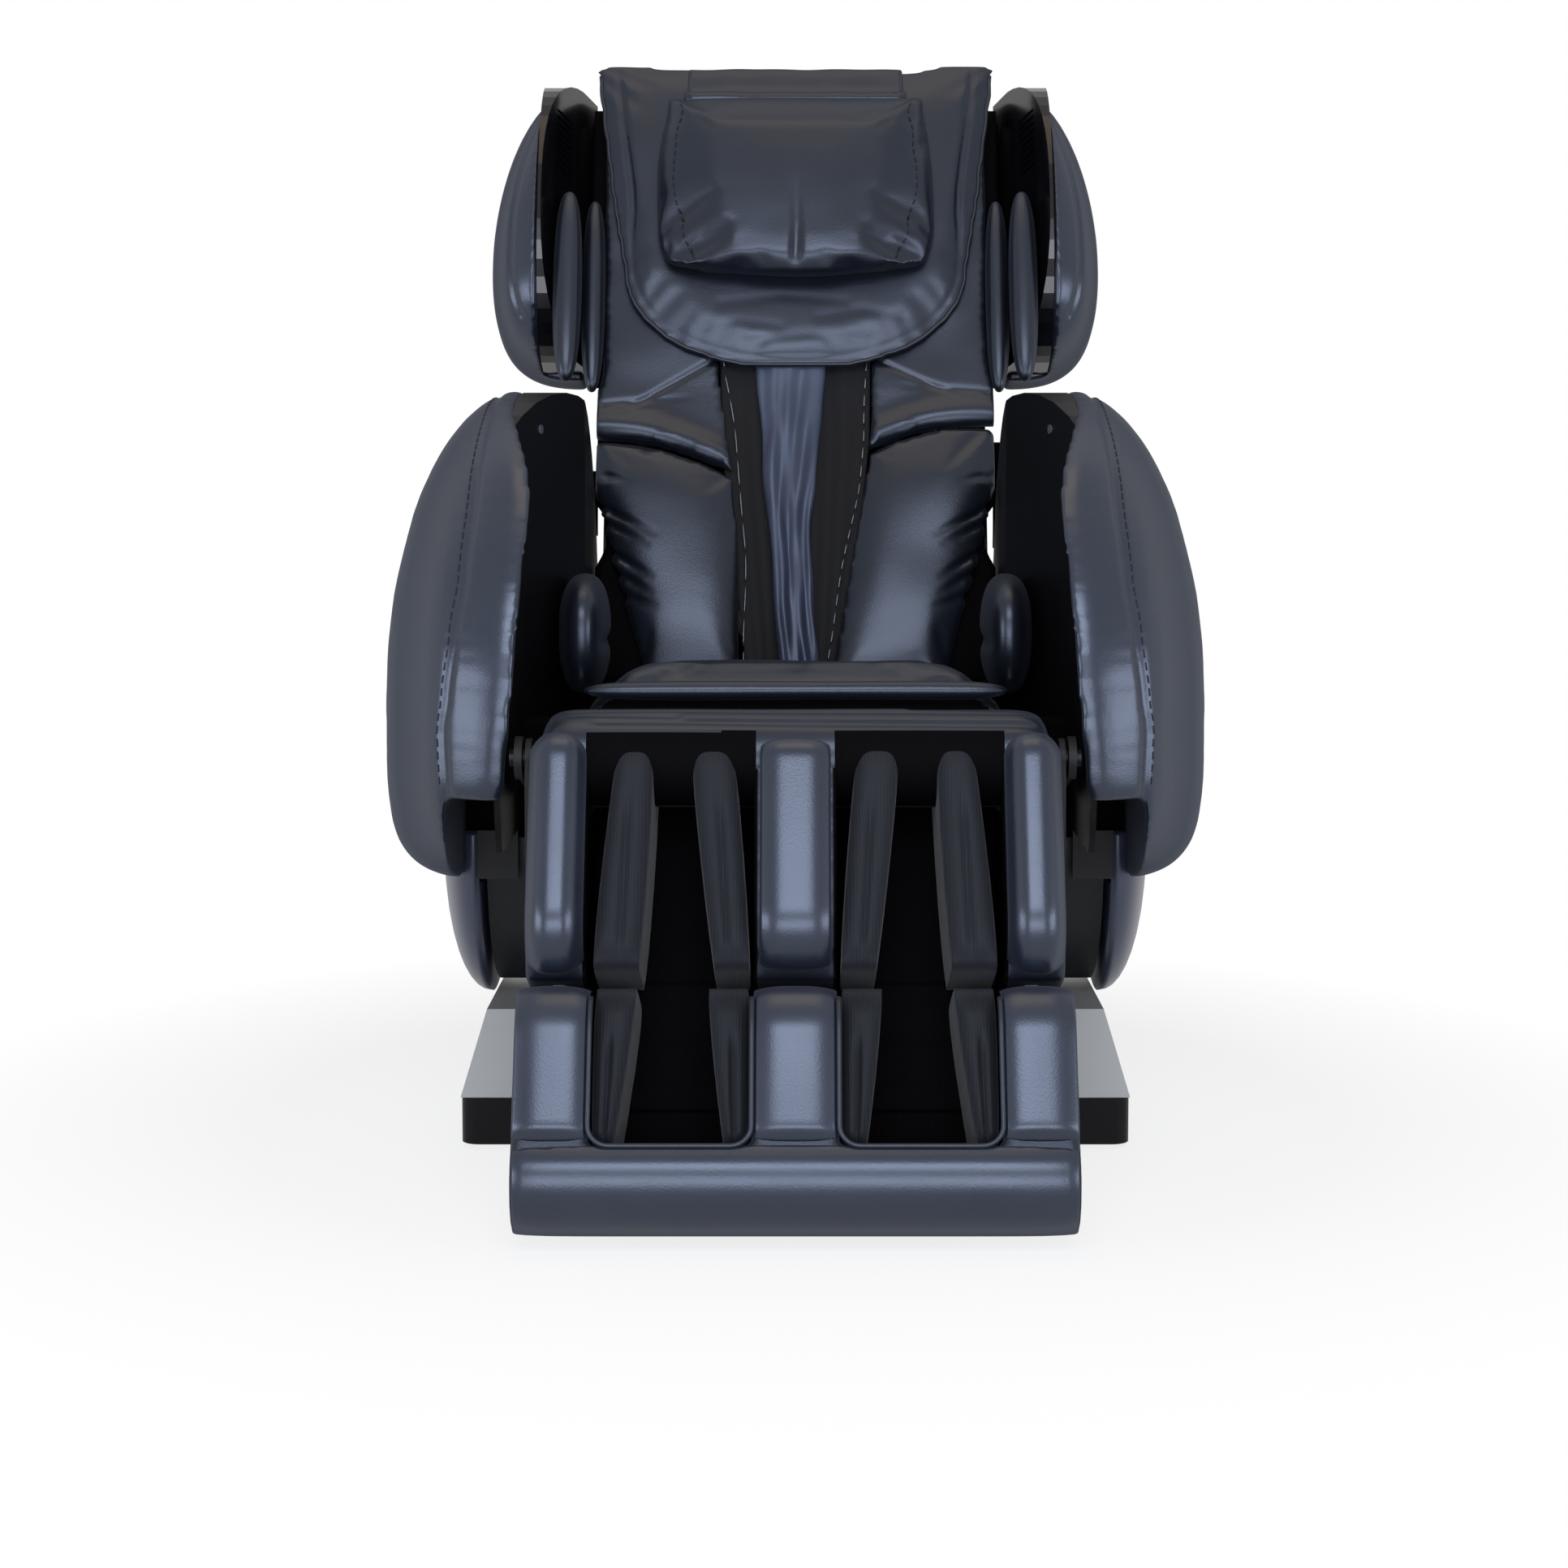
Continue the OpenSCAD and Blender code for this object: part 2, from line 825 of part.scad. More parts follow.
// Lower eye of the back, measured from the recline pivot in the back's frame
lug_s = -70;
lug_n = 40;
lug_y = piv_y + lug_s * sin(back_lean) + lug_n * cos(back_lean);
lug_z = piv_z + lug_s * cos(back_lean) - lug_n * sin(back_lean);
act_dy = lug_y - act_y;
act_dz = lug_z - act_z;
act_len = sqrt(act_dy * act_dy + act_dz * act_dz);
act_angle = atan2(act_dz, act_dy);
lug_pin = 5;
lug_play = 6;

module on_actuator() {
  row()
    translate([0, act_y, act_z])
      rotate([act_angle, 0, 0])
        children();
}

module recline_actuator() {
  color(frame_black) on_actuator()
    difference() {
      union() {
        rod_x(-11, 11, 13);
        block(-11, 11, 4, 20, -11, 11);
        rod_y(18, 196, 14);
        translate([0, 0, -24])
          rod_y(24, 96, 15);
        block(-10, 10, 24, 50, -30, 4);
      }
      rod_x(-20, 20, 6 + run_gap);
      rod_y(60, 200, 8 + run_gap);
    }
}

module recline_rod() {
  color(steel) on_actuator()
    difference() {
      union() {
        rod_y(126, act_len - lug_pin - lug_play - 2, 8);
        translate([0, act_len, 0])
          rod_x(-9, 9, lug_pin + lug_play + 5);
      }
      translate([0, act_len, 0])
        rod_x(-20, 20, lug_pin + lug_play);
    }
}

// ---------- back ----------

pod_foot_x = back_w / 2 + 16;
pod_root_x = pod_foot_x + 10;
pod_face_x = pod_root_x + 50;

channel_w = 24;
channel_x = back_w / 2 - 1 - cover_wall - seat_gap - channel_w;
channel_n = [back_foam + seat_gap, 150];
unit_rail_x = [158, 176];
unit_n = 95;
lift_n = 132;
stub_s = [500, 690];
lip_t = 22;
beam_s = 24;
lift_motor = 42;

// Side channels, cross members, hinge plates and the actuator fork
module back_frame() {
  color(frame_black) in_back() {
    both_sides()
      block(channel_x, channel_x + channel_w, channel_n[0], channel_n[1], -20, back_len - 36);
    for (z = [0, back_len - 60])
      block(-channel_x - 1, channel_x + 1, lift_n - 15, channel_n[1], z, z + beam_s);
    both_sides()
      along_x(hinge_x - 10, hinge_x - 2)
        difference() {
          union() {
            polygon([[piv_n - 14, piv_s], [piv_n + 14, piv_s], [piv_n + 50, 10], [piv_n - 10, 10]]);
            translate([piv_n, piv_s])
              circle(r = 24);
          }
          translate([piv_n, piv_s])
            circle(r = pin_r + run_gap);
        }
    both_sides()
      block(hinge_x - 26, hinge_x - 2, channel_n[0] + 4, channel_n[1], -20, 10);
    for (s = [-1, 1])
      translate([s * 17, 0, 0])
        along_x(-4, 4)
          polygon([[piv_n + lug_n - 12, piv_s + lug_s - 12], [piv_n + lug_n + 12, piv_s + lug_s - 12],
                   [channel_n[1], 10], [lift_n - 14, 10]]);
    translate([0, piv_n + lug_n, piv_s + lug_s])
      rod_x(-20, 20, lug_pin);
    both_sides()
      for (z = stub_s)
        block(channel_x + channel_w - 1, pod_foot_x - seat_gap, 90, 120, z, z + 30);
  }
}

module roller_rails() {
  color(steel) in_back() both_sides() {
    block(unit_rail_x[0], unit_rail_x[1], unit_n - 12, unit_n + 12, 50, back_len - 70);
    for (z = [70, 380, 690])
      block(unit_rail_x[1] - 1, channel_x, unit_n - 8, unit_n + 8, z, z + 20);
  }
}

// Lift screw with its motor on the lower cross member
module lift_drive() {
  color(steel) in_back() {
    translate([0, lift_n, beam_s])
      cylinder(h = back_len - 60 - beam_s, r = screw_r);
    translate([0, lift_n, beam_s])
      cylinder(h = lift_motor, r = 18);
  }
}

// Rear cover of the back, a shallow pan with rounded edges
module rear_cover() {
  color(gloss) in_back()
    difference() {
      cover_form(0);
      cover_form(cover_wall);
      for (z = stub_s)
        block(-400, 400, 80, 128, z - 6, z + 36);
    }
}

cover_low = -20;

module cover_form(d) {
  x1 = back_w / 2 - 1 - d;
  r = 34;
  intersection() {
    along_y(0, 400)
      polygon(concat(
        [[-x1, cover_low - d], [x1, cover_low - d]],
        [for (a = [0:15:90]) [x1 - r + r * cos(a), back_len + 5 - d - r + r * sin(a)]],
        [for (a = [90:15:180]) [-x1 + r + r * cos(a), back_len + 5 - d - r + r * sin(a)]]
      ));
    linear_extrude(2000, center = true)
      polygon([[-x1, back_foam + 3 - d * 2], [x1, back_foam + 3 - d * 2],
               [x1, back_depth - 50], [x1 - 50, back_depth - d],
               [-x1 + 50, back_depth - d], [-x1, back_depth - 50]]);
    along_x(-500, 500)
      polygon([[back_foam + 3 - d * 2, cover_low - d], [back_depth - 30 - d, cover_low - d],
               [back_depth - d, 40], [back_depth - d, back_len + 5 - d],
               [back_foam + 3 - d * 2, back_len + 5 - d]]);
  }
}

strip_low = 56;
strip_mid = 90;
strip_high = 98;
face_n = 12;

// Foam block behind the cushion face, clear of the roller unit
module back_foam_block(z0, z1) {
  block(112, back_w / 2 - 4, face_n, back_foam, z0, z1);
}

// One lumbar cushion with the pleats at its outer side
module lumbar_cushion(s) {
  color(leather) in_back()
    mirror([s < 0 ? 1 : 0, 0, 0])
      union() {
        translate([0, face_n + 0.2, 0])
          rotate([90, 0, 0])
            cushion([strip_low, back_w / 2], [strip_mid, back_w / 2], 6, lumbar_top,
                    lip_t - 6, back_crown, [2, 1, 3], 16, 16,
                    seam_y = [[lumbar_top - 26, 7, 9], [lumbar_top - 82, 3, 14]]);
        back_foam_block(8, lumbar_top - 2);
      }
}
module lumbar_cushion_left() {
  lumbar_cushion(1);
}
module lumbar_cushion_right() {
  lumbar_cushion(-1);
}

// Shoulder panel above one lumbar cushion, running up under the head flap
module shoulder_panel(s) {
  color(leather) in_back()
    mirror([s < 0 ? 1 : 0, 0, 0])
      union() {
        translate([0, face_n + 0.2, 0])
          rotate([90, 0, 0])
            cushion([strip_mid, back_w / 2], [strip_high, back_w / 2],
                    lumbar_top + 1, back_len, lip_t - 6, 6, [1, 1, 0], 10, 14,
                    seam_y = [[lumbar_top + 60, 5, 10]]);
        back_foam_block(lumbar_top + 2, back_len - 4);
      }
}
module shoulder_panel_left() {
  shoulder_panel(1);
}
module shoulder_panel_right() {
  shoulder_panel(-1);
}

// Fabric over the roller slot with the raised leather strip down its middle
module track_cover() {
  color(knit) in_back() {
    along_y(4, 8)
      polygon([[-strip_low + seat_gap, 6], [strip_low - seat_gap, 6],
               [strip_mid - seat_gap, lumbar_top], [strip_high - seat_gap, back_len - 4],
               [-strip_high + seat_gap, back_len - 4], [-strip_mid + seat_gap, lumbar_top]]);
    along_y(-2, 4)
      polygon([[-24, 8], [24, 8], [40, back_len / 2], [40, back_len - 6],
               [-40, back_len - 6], [-40, back_len / 2]]);
  }
}

flap_low = 392;
flap_shoulder = 545;
flap_n = -10;
flap_over = 6;

function flap_edge(x) =
  mix(flap_low, flap_shoulder, 1 - sqrt(max(0, 1 - pow(2 * x / flap_w, 2))));

// Padded head flap with a U-shaped lower edge
module head_flap() {
  nu = 26;
  nv = 14;
  top = back_len + flap_over;
  function fx(i) = flap_w / 2 * sin(mix(-90, 90, i / nu));
  function fy(i, j) = mix(flap_edge(fx(i)), top - 5 * sin(180 * i / nu), j / nv);
  front = [for (i = [0:nu]) [for (j = [0:nv])
    [fx(i), fy(i, j), 8 + 9 * hump(i / nu, 6) * hump(j / nv, 5)]
  ]];
  back = [for (i = [0:nu]) [for (j = [0:nv]) [fx(i), fy(i, j), 0]]];
  color(leather) in_back() {
    translate([0, flap_n, 0])
      rotate([90, 0, 0])
        grid_solid(front, back);
    block(-back_w / 2 + 6, back_w / 2 - 6, flap_n - 0.1, back_foam,
          back_len + seat_gap, back_len + flap_over - 1);
  }
}

rod_n = -37;
rod_s = 747;
pillow_back = -30;

// Rod and tabs that the pillow hangs on
module pillow_rod() {
  color(steel) in_back() {
    translate([0, rod_n, rod_s])
      rod_x(-132, 132, 4);
    both_sides()
      block(120, 126, rod_n - 3, flap_n - 16.2, rod_s - 6, rod_s + 6);
  }
}

// Head pillow with side gussets and a centre crease, hung by three loops
module pillow() {
  color(leather) in_back() {
    translate([0, pillow_back, rod_s - 12 - pillow_h])
      rotate([90, 0, 0])
        cushion([-pillow_w / 2 + 24, pillow_w / 2 - 24], [-pillow_w / 2 + 28, pillow_w / 2 - 28],
                14, pillow_h, pillow_t - 26, 26, [-24, -14, 0], 20, 16,
                seam_x = [[0, 5, 8], [-118, 4, 8], [118, 4, 8]],
                seam_y = [[38, 4, 12]], k = 3);
    for (x = [-80, 0, 80])
      translate([x, rod_n, rod_s])
        difference() {
          union() {
            rod_x(-12, 12, 7.5);
            block(-12, 12, pillow_back - rod_n + 0.1, pillow_back - rod_n + 1.2, -60, 0);
          }
          rod_x(-20, 20, 4 + run_gap);
        }
  }
}

// ---------- shoulder pods ----------

pod_mid_s = pod_low + 125;
pod_wide_s = pod_low + 190;
pod_rear_n = 190;
pod_front_n = -90;

function pod_front_curve(d) = quad_curve(pod_x - pod_root_x - d, 40, pod_high - pod_mid_s - d,
                                         pod_mid_s - pod_low - d, 2, 3, 7.5);
function pod_side_curve(d) = quad_curve(
  (pod_rear_n - pod_front_n) / 2 - d, (pod_rear_n - pod_front_n) / 2 - d,
  pod_high - pod_wide_s - d, pod_wide_s - pod_low - d, 2.5, 2.5, 7.5);

module pod_body(d) {
  intersection() {
    along_y(-300, 400)
      translate([pod_root_x, pod_mid_s])
        polygon(pod_front_curve(d));
    along_x(0, 500)
      translate([(pod_rear_n + pod_front_n) / 2, pod_wide_s])
        polygon(pod_side_curve(d));
  }
}

// Outer shell of one shoulder pod
module shoulder_pod(s) {
  color(leather) in_back()
    mirror([s < 0 ? 1 : 0, 0, 0])
      difference() {
        pod_body(0);
        pod_body(pod_wall);
        linear_extrude(2000, center = true)
          polygon([[0, -200], [pod_face_x + seat_gap, -200], [pod_face_x + seat_gap, 60],
                   [pod_root_x + seat_gap, 60], [pod_root_x + seat_gap, 400], [0, 400]]);
      }
}
module shoulder_pod_left() {
  shoulder_pod(1);
}
module shoulder_pod_right() {
  shoulder_pod(-1);
}

// Plan of the inner panel: straight beside the back, then slanted out to its front tip
pod_bend_n = 60;
pod_tip = [pod_face_x - 4, pod_front_n + 6];

function pod_plan() = [
  [pod_foot_x, 220], [pod_foot_x, pod_bend_n], pod_tip, [pod_face_x, pod_tip[1]],
  [pod_face_x, pod_bend_n], [pod_root_x, pod_bend_n], [pod_root_x, 220]
];

// Gloss inner panel of one pod with its speaker slots
module pod_panel(s) {
  color(gloss) in_back()
    mirror([s < 0 ? 1 : 0, 0, 0])
      difference() {
        intersection() {
          linear_extrude(2000, center = true)
            polygon(pod_plan());
          along_x(0, 500)
            translate([(pod_rear_n + pod_front_n) / 2, pod_wide_s])
              polygon(pod_side_curve(6));
          along_y(-300, 400)
            translate([pod_root_x, pod_mid_s])
              polygon(quad_curve(pod_x, 60, pod_high - pod_mid_s - 8, pod_mid_s - pod_low - 8, 4, 4, 7.5));
        }
        for (k = [0:8])
          translate([mix(pod_foot_x, pod_tip[0], 0.6), mix(pod_bend_n, pod_tip[1], 0.6),
                     pod_high - 139 + 9 * k])
            rotate([0, 0, atan2(pod_tip[0] - pod_foot_x, pod_bend_n - pod_tip[1])])
              block(-5, 5, -22, 22, 0, 4);
      }
}
module pod_panel_left() {
  pod_panel(1);
}
module pod_panel_right() {
  pod_panel(-1);
}

// Two slim airbags a side, standing on the pods' inner panels
module shoulder_airbags() {
  color(leather) in_back() both_sides() {
    translate([pod_root_x - 6, 8, pod_low + 90])
      soft_block(28, 28, 236, 2.4, 22.5);
    translate([pod_root_x + 13, -51, pod_low + 90])
      soft_block(35, 35, 228, 2.4, 22.5);
  }
}

// ---------- massage roller unit ----------

unit_s = 170;
plate_x = 120;
arm_plate_x = 70;
roller_x = 50.5;
roller_w = 18;
axle_n = 60;
axle_ds = 62;

module at_unit() {
  in_back()
    translate([0, unit_n, unit_s])
      children();
}

module roller_carriage() {
  color(frame_black) at_unit()
    difference() {
      union() {
        both_sides() {
          block(plate_x, plate_x + 8, -24, 30, -80, 80);
          for (z = [-70, 46])
            block(plate_x + 7, unit_rail_x[0] - seat_gap, -10, 10, z, z + 24);
        }
        block(-plate_x - 1, plate_x + 1, 24, 30, -80, 80);
        block(-34, 34, 29, lift_n - unit_n + 18, -40, 40);
      }
      rod_x(-200, 200, 8 + run_gap);
      translate([0, lift_n - unit_n, -100])
        cylinder(h = 200, r = screw_r + run_gap);
    }
}

module kneading_shaft() {
  color(steel) at_unit() {
    rod_x(-plate_x - 14, plate_x + 14, 8);
    both_sides()
      rod_x(96, 112, 19);
  }
}

// Swinging roller arms, one plate a side with a stub axle at each end
module roller_arms() {
  color(steel) at_unit() both_sides() {
    along_x(arm_plate_x, arm_plate_x + 8)
      difference() {
        union() {
          circle(r = 18);
          for (e = [-1, 1])
            polygon([[0, e * -12], [16, 0], [axle_n - unit_n + 11, e * axle_ds],
                     [axle_n - unit_n - 11, e * axle_ds]]);
          for (e = [-1, 1])
            translate([axle_n - unit_n, e * axle_ds])
              circle(r = 11);
        }
        circle(r = 8 + run_gap);
      }
    for (e = [-1, 1])
      translate([0, axle_n - unit_n, e * axle_ds])
        rod_x(roller_x - 2, arm_plate_x + 1, 5);
  }
}

roller_edge = 5;

module roller_pair(e) {
  color("#c8c2b4") at_unit() both_sides()
    translate([roller_x, axle_n - unit_n, e * axle_ds])
      rotate([0, 90, 0])
        rotate_extrude()
          polygon([[5 + run_gap, 0], [roller_r - roller_edge, 0], [roller_r, roller_edge],
                   [roller_r, roller_w - roller_edge], [roller_r - roller_edge, roller_w],
                   [5 + run_gap, roller_w]]);
}
module upper_rollers() {
  roller_pair(1);
}
module lower_rollers() {
  roller_pair(-1);
}

// ---------- leg rest ----------

leg_mid = 41;
well_x = [leg_mid, leg_mid + well_w];
well_back = 80;
shell_top = -6;
rod_x_place = (well_x[1] + leg_w / 2) / 2;
rod_y_place = 20;
rod_r = 10;

// Side outline of the calf section in the leg's frame
module calf_outline() {
  difference() {
    polygon([[-leg_face + 8, shell_top], [-leg_face, shell_top - 14], [-leg_face, -calf_len + 16],
             [-leg_face + 12, -calf_len], [leg_rear, -calf_len], [leg_rear, -30], [60, -20],
             [20, -10], [-20, shell_top]]);
    circle(r = knee_r + seat_gap);
  }
}

// Padded calf housing with two open wells and bores for the foot rods
module calf_shell() {
  color(leather) in_leg()
    difference() {
      along_x(-leg_w / 2, leg_w / 2)
        calf_outline();
      both_sides()
        block(well_x[0], well_x[1], -leg_face - 10, well_back, -calf_len - 10, -knee_r - 10);
      both_sides()
        block(well_x[0], well_x[1], -leg_face - 10, -knee_r - 0.2, -calf_len, 20);
      both_sides()
        translate([rod_x_place, rod_y_place, -calf_len - 1])
          cylinder(h = calf_len - 59, r = rod_r + run_gap);
    }
}

// Pairs of slanted airbags in each calf well
module calf_airbags() {
  color(knit) in_leg() both_sides()
    along_y(-30, well_back - seat_gap) {
      polygon([[142, -62], [174, -62], [well_x[1] - 1, -calf_len + 8], [154, -calf_len + 8]]);
      polygon([[78, -62], [106, -62], [80, -calf_len + 8], [leg_mid + 1, -calf_len + 8]]);
    }
}

// Round leather roll over the knee hinge
module knee_roll() {
  color(leather) in_leg()
    rod_x(-leg_w / 2 + 4, leg_w / 2 - 4, knee_r);
}

module leg_hinge_plates() {
  color(frame_black) in_leg() both_sides()
    along_x(leg_w / 2 + seat_gap, leg_w / 2 + 6.3)
      difference() {
        union() {
          circle(r = 20);
          polygon([[-14, 10], [24, 4], [70, -120], [30, -140], [-18, -20]]);
        }
        circle(r = pin_r + run_gap);
      }
}

// ---------- foot rest ----------

foot_top = calf_len + 5;
foot_mid = 42;
foot_well = [foot_mid, foot_mid + well_w - 6];

// Side outline of the foot section before it is cut off above the floor
module foot_outline() {
  polygon(concat(
    [[leg_rear - 4, -foot_top], [-leg_face + 10, -foot_top], [-leg_face, -foot_top - 12],
     [-leg_face - 3, -sole + 10]],
    [for (a = [-15:15:60])
      let (t = 180 + leg_lean + a)
        [toe_r - leg_face - toe_bulge + toe_r * cos(t), -sole - toe_drop + toe_r * sin(t)]],
    [[-20, -foot_low], [leg_rear - 10, -foot_low], [leg_rear - 4, -sole]]
  ));
}

// Foot housing with two open wells, a closed sole and the rounded toe bar
module foot_shell() {
  color(leather)
    difference() {
      in_leg()
        difference() {
          along_x(-foot_w / 2, foot_w / 2)
            foot_outline();
          both_sides()
            block(foot_well[0], foot_well[1], -leg_face - 40, well_back, -sole, -foot_top + 10);
          translate([0, 10, -sole - roller_drop]) {
            both_sides()
              rod_x(foot_well[0] + 24, foot_well[1] - 24, foot_roller_r + 2);
            rod_x(-foot_well[1] - 14, foot_well[1] + 14, foot_shaft_r + run_gap);
          }
        }
      block(-500, 500, -2000, 2000, -500, foot_clear);
    }
}

module foot_airbags() {
  color(knit) in_leg() both_sides()
    along_y(-34, well_back - seat_gap) {
      polygon([[foot_well[1] - 34, -foot_top - 4], [foot_well[1] - 1, -foot_top - 4],
               [foot_well[1] - 1, -sole + 0.5], [foot_well[1] - 22, -sole + 0.5]]);
      polygon([[foot_well[0] + 1, -foot_top - 4], [foot_well[0] + 34, -foot_top - 4],
               [foot_well[0] + 22, -sole + 0.5], [foot_well[0] + 1, -sole + 0.5]]);
    }
}

module foot_rods() {
  color(steel) in_leg() both_sides()
    translate([rod_x_place, rod_y_place, -foot_top])
      cylinder(h = foot_top - 64, r = rod_r);
}

// Kneading rollers under the soles on one shaft
module foot_roller() {
  color("#c8c2b4") in_leg()
    translate([0, 10, -sole - roller_drop]) {
      rod_x(-foot_well[1] - 13, foot_well[1] + 13, foot_shaft_r);
      both_sides()
        for (x = [foot_well[0] + 36:24:foot_well[1] - 36])
          rod_x(x - 8, x + 8, foot_roller_r);
    }
}

base_frame();
base_cover_left();
base_cover_right();
foot_rails();
rubber_feet();
slide_rails();
slide_drive();
control_box();
power_inlet();
transport_wheel_left();
transport_wheel_right();
carriage_frame();
tilt_pins();
air_pump();
seat_frame();
seat_cushion();
arm_shell_left();
arm_shell_right();
arm_inner_left();
arm_inner_right();
side_cover_left();
side_cover_right();
side_guard_left();
side_guard_right();
hip_pads();
arm_lamps();
arm_brackets();
pivot_pins();
recline_actuator();
recline_rod();
back_frame();
roller_rails();
lift_drive();
rear_cover();
lumbar_cushion_left();
lumbar_cushion_right();
shoulder_panel_left();
shoulder_panel_right();
track_cover();
head_flap();
pillow_rod();
shoulder_pod_left();
shoulder_pod_right();
pod_panel_left();
pod_panel_right();
shoulder_airbags();
pillow();
roller_carriage();
kneading_shaft();
roller_arms();
upper_rollers();
lower_rollers();
calf_shell();
calf_airbags();
knee_roll();
leg_hinge_plates();
foot_shell();
foot_airbags();
foot_rods();
foot_roller();
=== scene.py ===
import json
import math

import bpy
import numpy as np
from mathutils import Matrix, Vector, noise
from mathutils.bvhtree import BVHTree


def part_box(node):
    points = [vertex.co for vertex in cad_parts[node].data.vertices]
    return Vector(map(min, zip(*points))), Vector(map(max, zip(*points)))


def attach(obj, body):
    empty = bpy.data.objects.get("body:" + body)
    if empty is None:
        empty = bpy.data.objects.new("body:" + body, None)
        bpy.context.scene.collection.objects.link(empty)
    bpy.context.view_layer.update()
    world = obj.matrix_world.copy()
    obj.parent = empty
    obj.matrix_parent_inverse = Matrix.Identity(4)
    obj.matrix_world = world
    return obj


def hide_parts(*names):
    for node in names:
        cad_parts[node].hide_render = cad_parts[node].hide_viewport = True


# Looks of the reclining massage chair. Shapes are written in millimetres in the frame of the
# section that they belong to: the whole chair, the leaning back or the hanging leg rest. In all
# three x runs across; a point is (x, depth, height), and depth grows towards the rear.

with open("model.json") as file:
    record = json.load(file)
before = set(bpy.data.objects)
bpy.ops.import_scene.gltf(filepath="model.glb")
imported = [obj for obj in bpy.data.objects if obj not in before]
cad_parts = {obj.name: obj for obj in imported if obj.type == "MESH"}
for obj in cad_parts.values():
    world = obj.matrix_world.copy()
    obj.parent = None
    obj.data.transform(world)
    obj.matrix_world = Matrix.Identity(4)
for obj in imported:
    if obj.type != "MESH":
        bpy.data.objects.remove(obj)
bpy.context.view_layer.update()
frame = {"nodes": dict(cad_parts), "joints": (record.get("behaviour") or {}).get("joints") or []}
JOINTS = {joint["name"]: joint for joint in frame["joints"]}

# ---------- frames of the chair's sections ----------

MILLIMETRES = Matrix.Scale(0.001, 4)
TILT_Y = 60
HINGE_ON_BACK = Vector((0, 80, -60))


def leaned(pivot, up, pivot_place):
    """Frame in millimetres whose Z runs along up and whose point pivot_place lies on pivot."""
    turn = Matrix.Rotation(-math.atan2(up[1], up[2]), 4, "X") @ MILLIMETRES
    return Matrix.Translation(Vector(pivot) - turn @ pivot_place) @ turn


chair_middle = JOINTS["seat_tilt"]["pos_m"][1] - TILT_Y / 1000
CHAIR = Matrix.Translation((0, chair_middle, 0)) @ MILLIMETRES
BACK = leaned(JOINTS["recline"]["pos_m"], JOINTS["roller_travel"]["axis"], HINGE_ON_BACK)
LEG = leaned(JOINTS["leg_lift"]["pos_m"], [-a for a in JOINTS["foot_extend"]["axis"]], Vector())


def box_in(node, place):
    """Lowest and highest corners of a node in a section's frame."""
    back = place.inverted()
    points = np.array([back @ v.co for v in frame["nodes"][node].data.vertices])
    return Vector(points.min(0)), Vector(points.max(0))


# ---------- shapes ----------


def mix(a, b, t):
    return a + (b - a) * t


def smooth(t):
    t = min(max(t, 0.0), 1.0)
    return t * t * (3 - 2 * t)


def hump(t, power):
    """0 at both ends of 0 to 1 and 1 between them, the flatter the higher the power."""
    return 1 - abs(2 * t - 1) ** power


def bent(value, power):
    """Sine or cosine reshaped so that a circle made with it turns squarer."""
    return math.copysign(abs(value) ** (2 / power), value)


def between(value, stops):
    """Smooth value between (place, value) stops."""
    if value <= stops[0][0]:
        return stops[0][1]
    for (a, low), (b, high) in zip(stops, stops[1:]):
        if value <= b:
            return mix(low, high, smooth((value - a) / (b - a)))
    return stops[-1][1]


def straight(value, stops):
    """Value on the straight lines between (place, value) stops."""
    return float(np.interp(value, [place for place, _ in stops], [level for _, level in stops]))


def piece_from(name, points, faces, place):
    mesh = bpy.data.meshes.new(name)
    mesh.from_pydata([place @ Vector(p) for p in points], [], faces)
    made = bpy.data.objects.new(name, mesh)
    bpy.context.scene.collection.objects.link(made)
    for face in mesh.polygons:
        face.use_smooth = True
    return made


def lofted(name, rings, place, closed=False):
    """Skin through rings of points of one count; closed joins the last ring to the first."""
    count = len(rings[0])
    total = len(rings)
    faces = []
    for r in range(total if closed else total - 1):
        a, b = r * count, (r + 1) % total * count
        faces += [(a + k, a + (k + 1) % count, b + (k + 1) % count, b + k) for k in range(count)]
    if not closed:
        faces.append(tuple(reversed(range(count))))
        faces.append(tuple(range((total - 1) * count, total * count)))
    return piece_from(name, [p for ring in rings for p in ring], faces, place)


def pad(name, place, point, counts):
    """Closed pad from two grids: point(u, v, side) is on the front for side 1, else the rear."""
    nu, nv = counts
    row = nv + 1
    half = (nu + 1) * row
    points = [
        point(i / nu, j / nv, side) for side in (1, 0) for i in range(nu + 1) for j in range(row)
    ]
    faces = []
    for i in range(nu):
        for j in range(nv):
            a = i * row + j
            faces.append((a, a + row, a + row + 1, a + 1))
            faces.append((half + a + 1, half + a + row + 1, half + a + row, half + a))
    rim = [i * row for i in range(nu)] + [nu * row + j for j in range(nv)]
    rim += [i * row + nv for i in range(nu, 0, -1)] + [j for j in range(nv, 0, -1)]
    faces += [(b, a, half + a, half + b) for a, b in zip(rim, rim[1:] + rim[:1])]
    return piece_from(name, points, faces, place)


def tube(name, centres, radius, place, sides=8, closed=False):
    """Round tube along a line of points, in the section's millimetres."""
    line = [Vector(c) for c in centres]
    last = len(line) - 1
    side = Vector((0.31, 0.83, 0.46))
    rings = []
    for k, centre in enumerate(line):
        ahead = line[(k + 1) % len(line)] if closed or k < last else centre
        behind = line[k - 1] if closed or k else centre
        along = (ahead - behind).normalized()
        side = (side - along * side.dot(along)).normalized()
        up = along.cross(side)
        turns = [2 * math.pi * a / sides for a in range(sides)]
        rings.append([centre + (side * math.cos(t) + up * math.sin(t)) * radius for t in turns])
    return lofted(name, rings, place, closed)


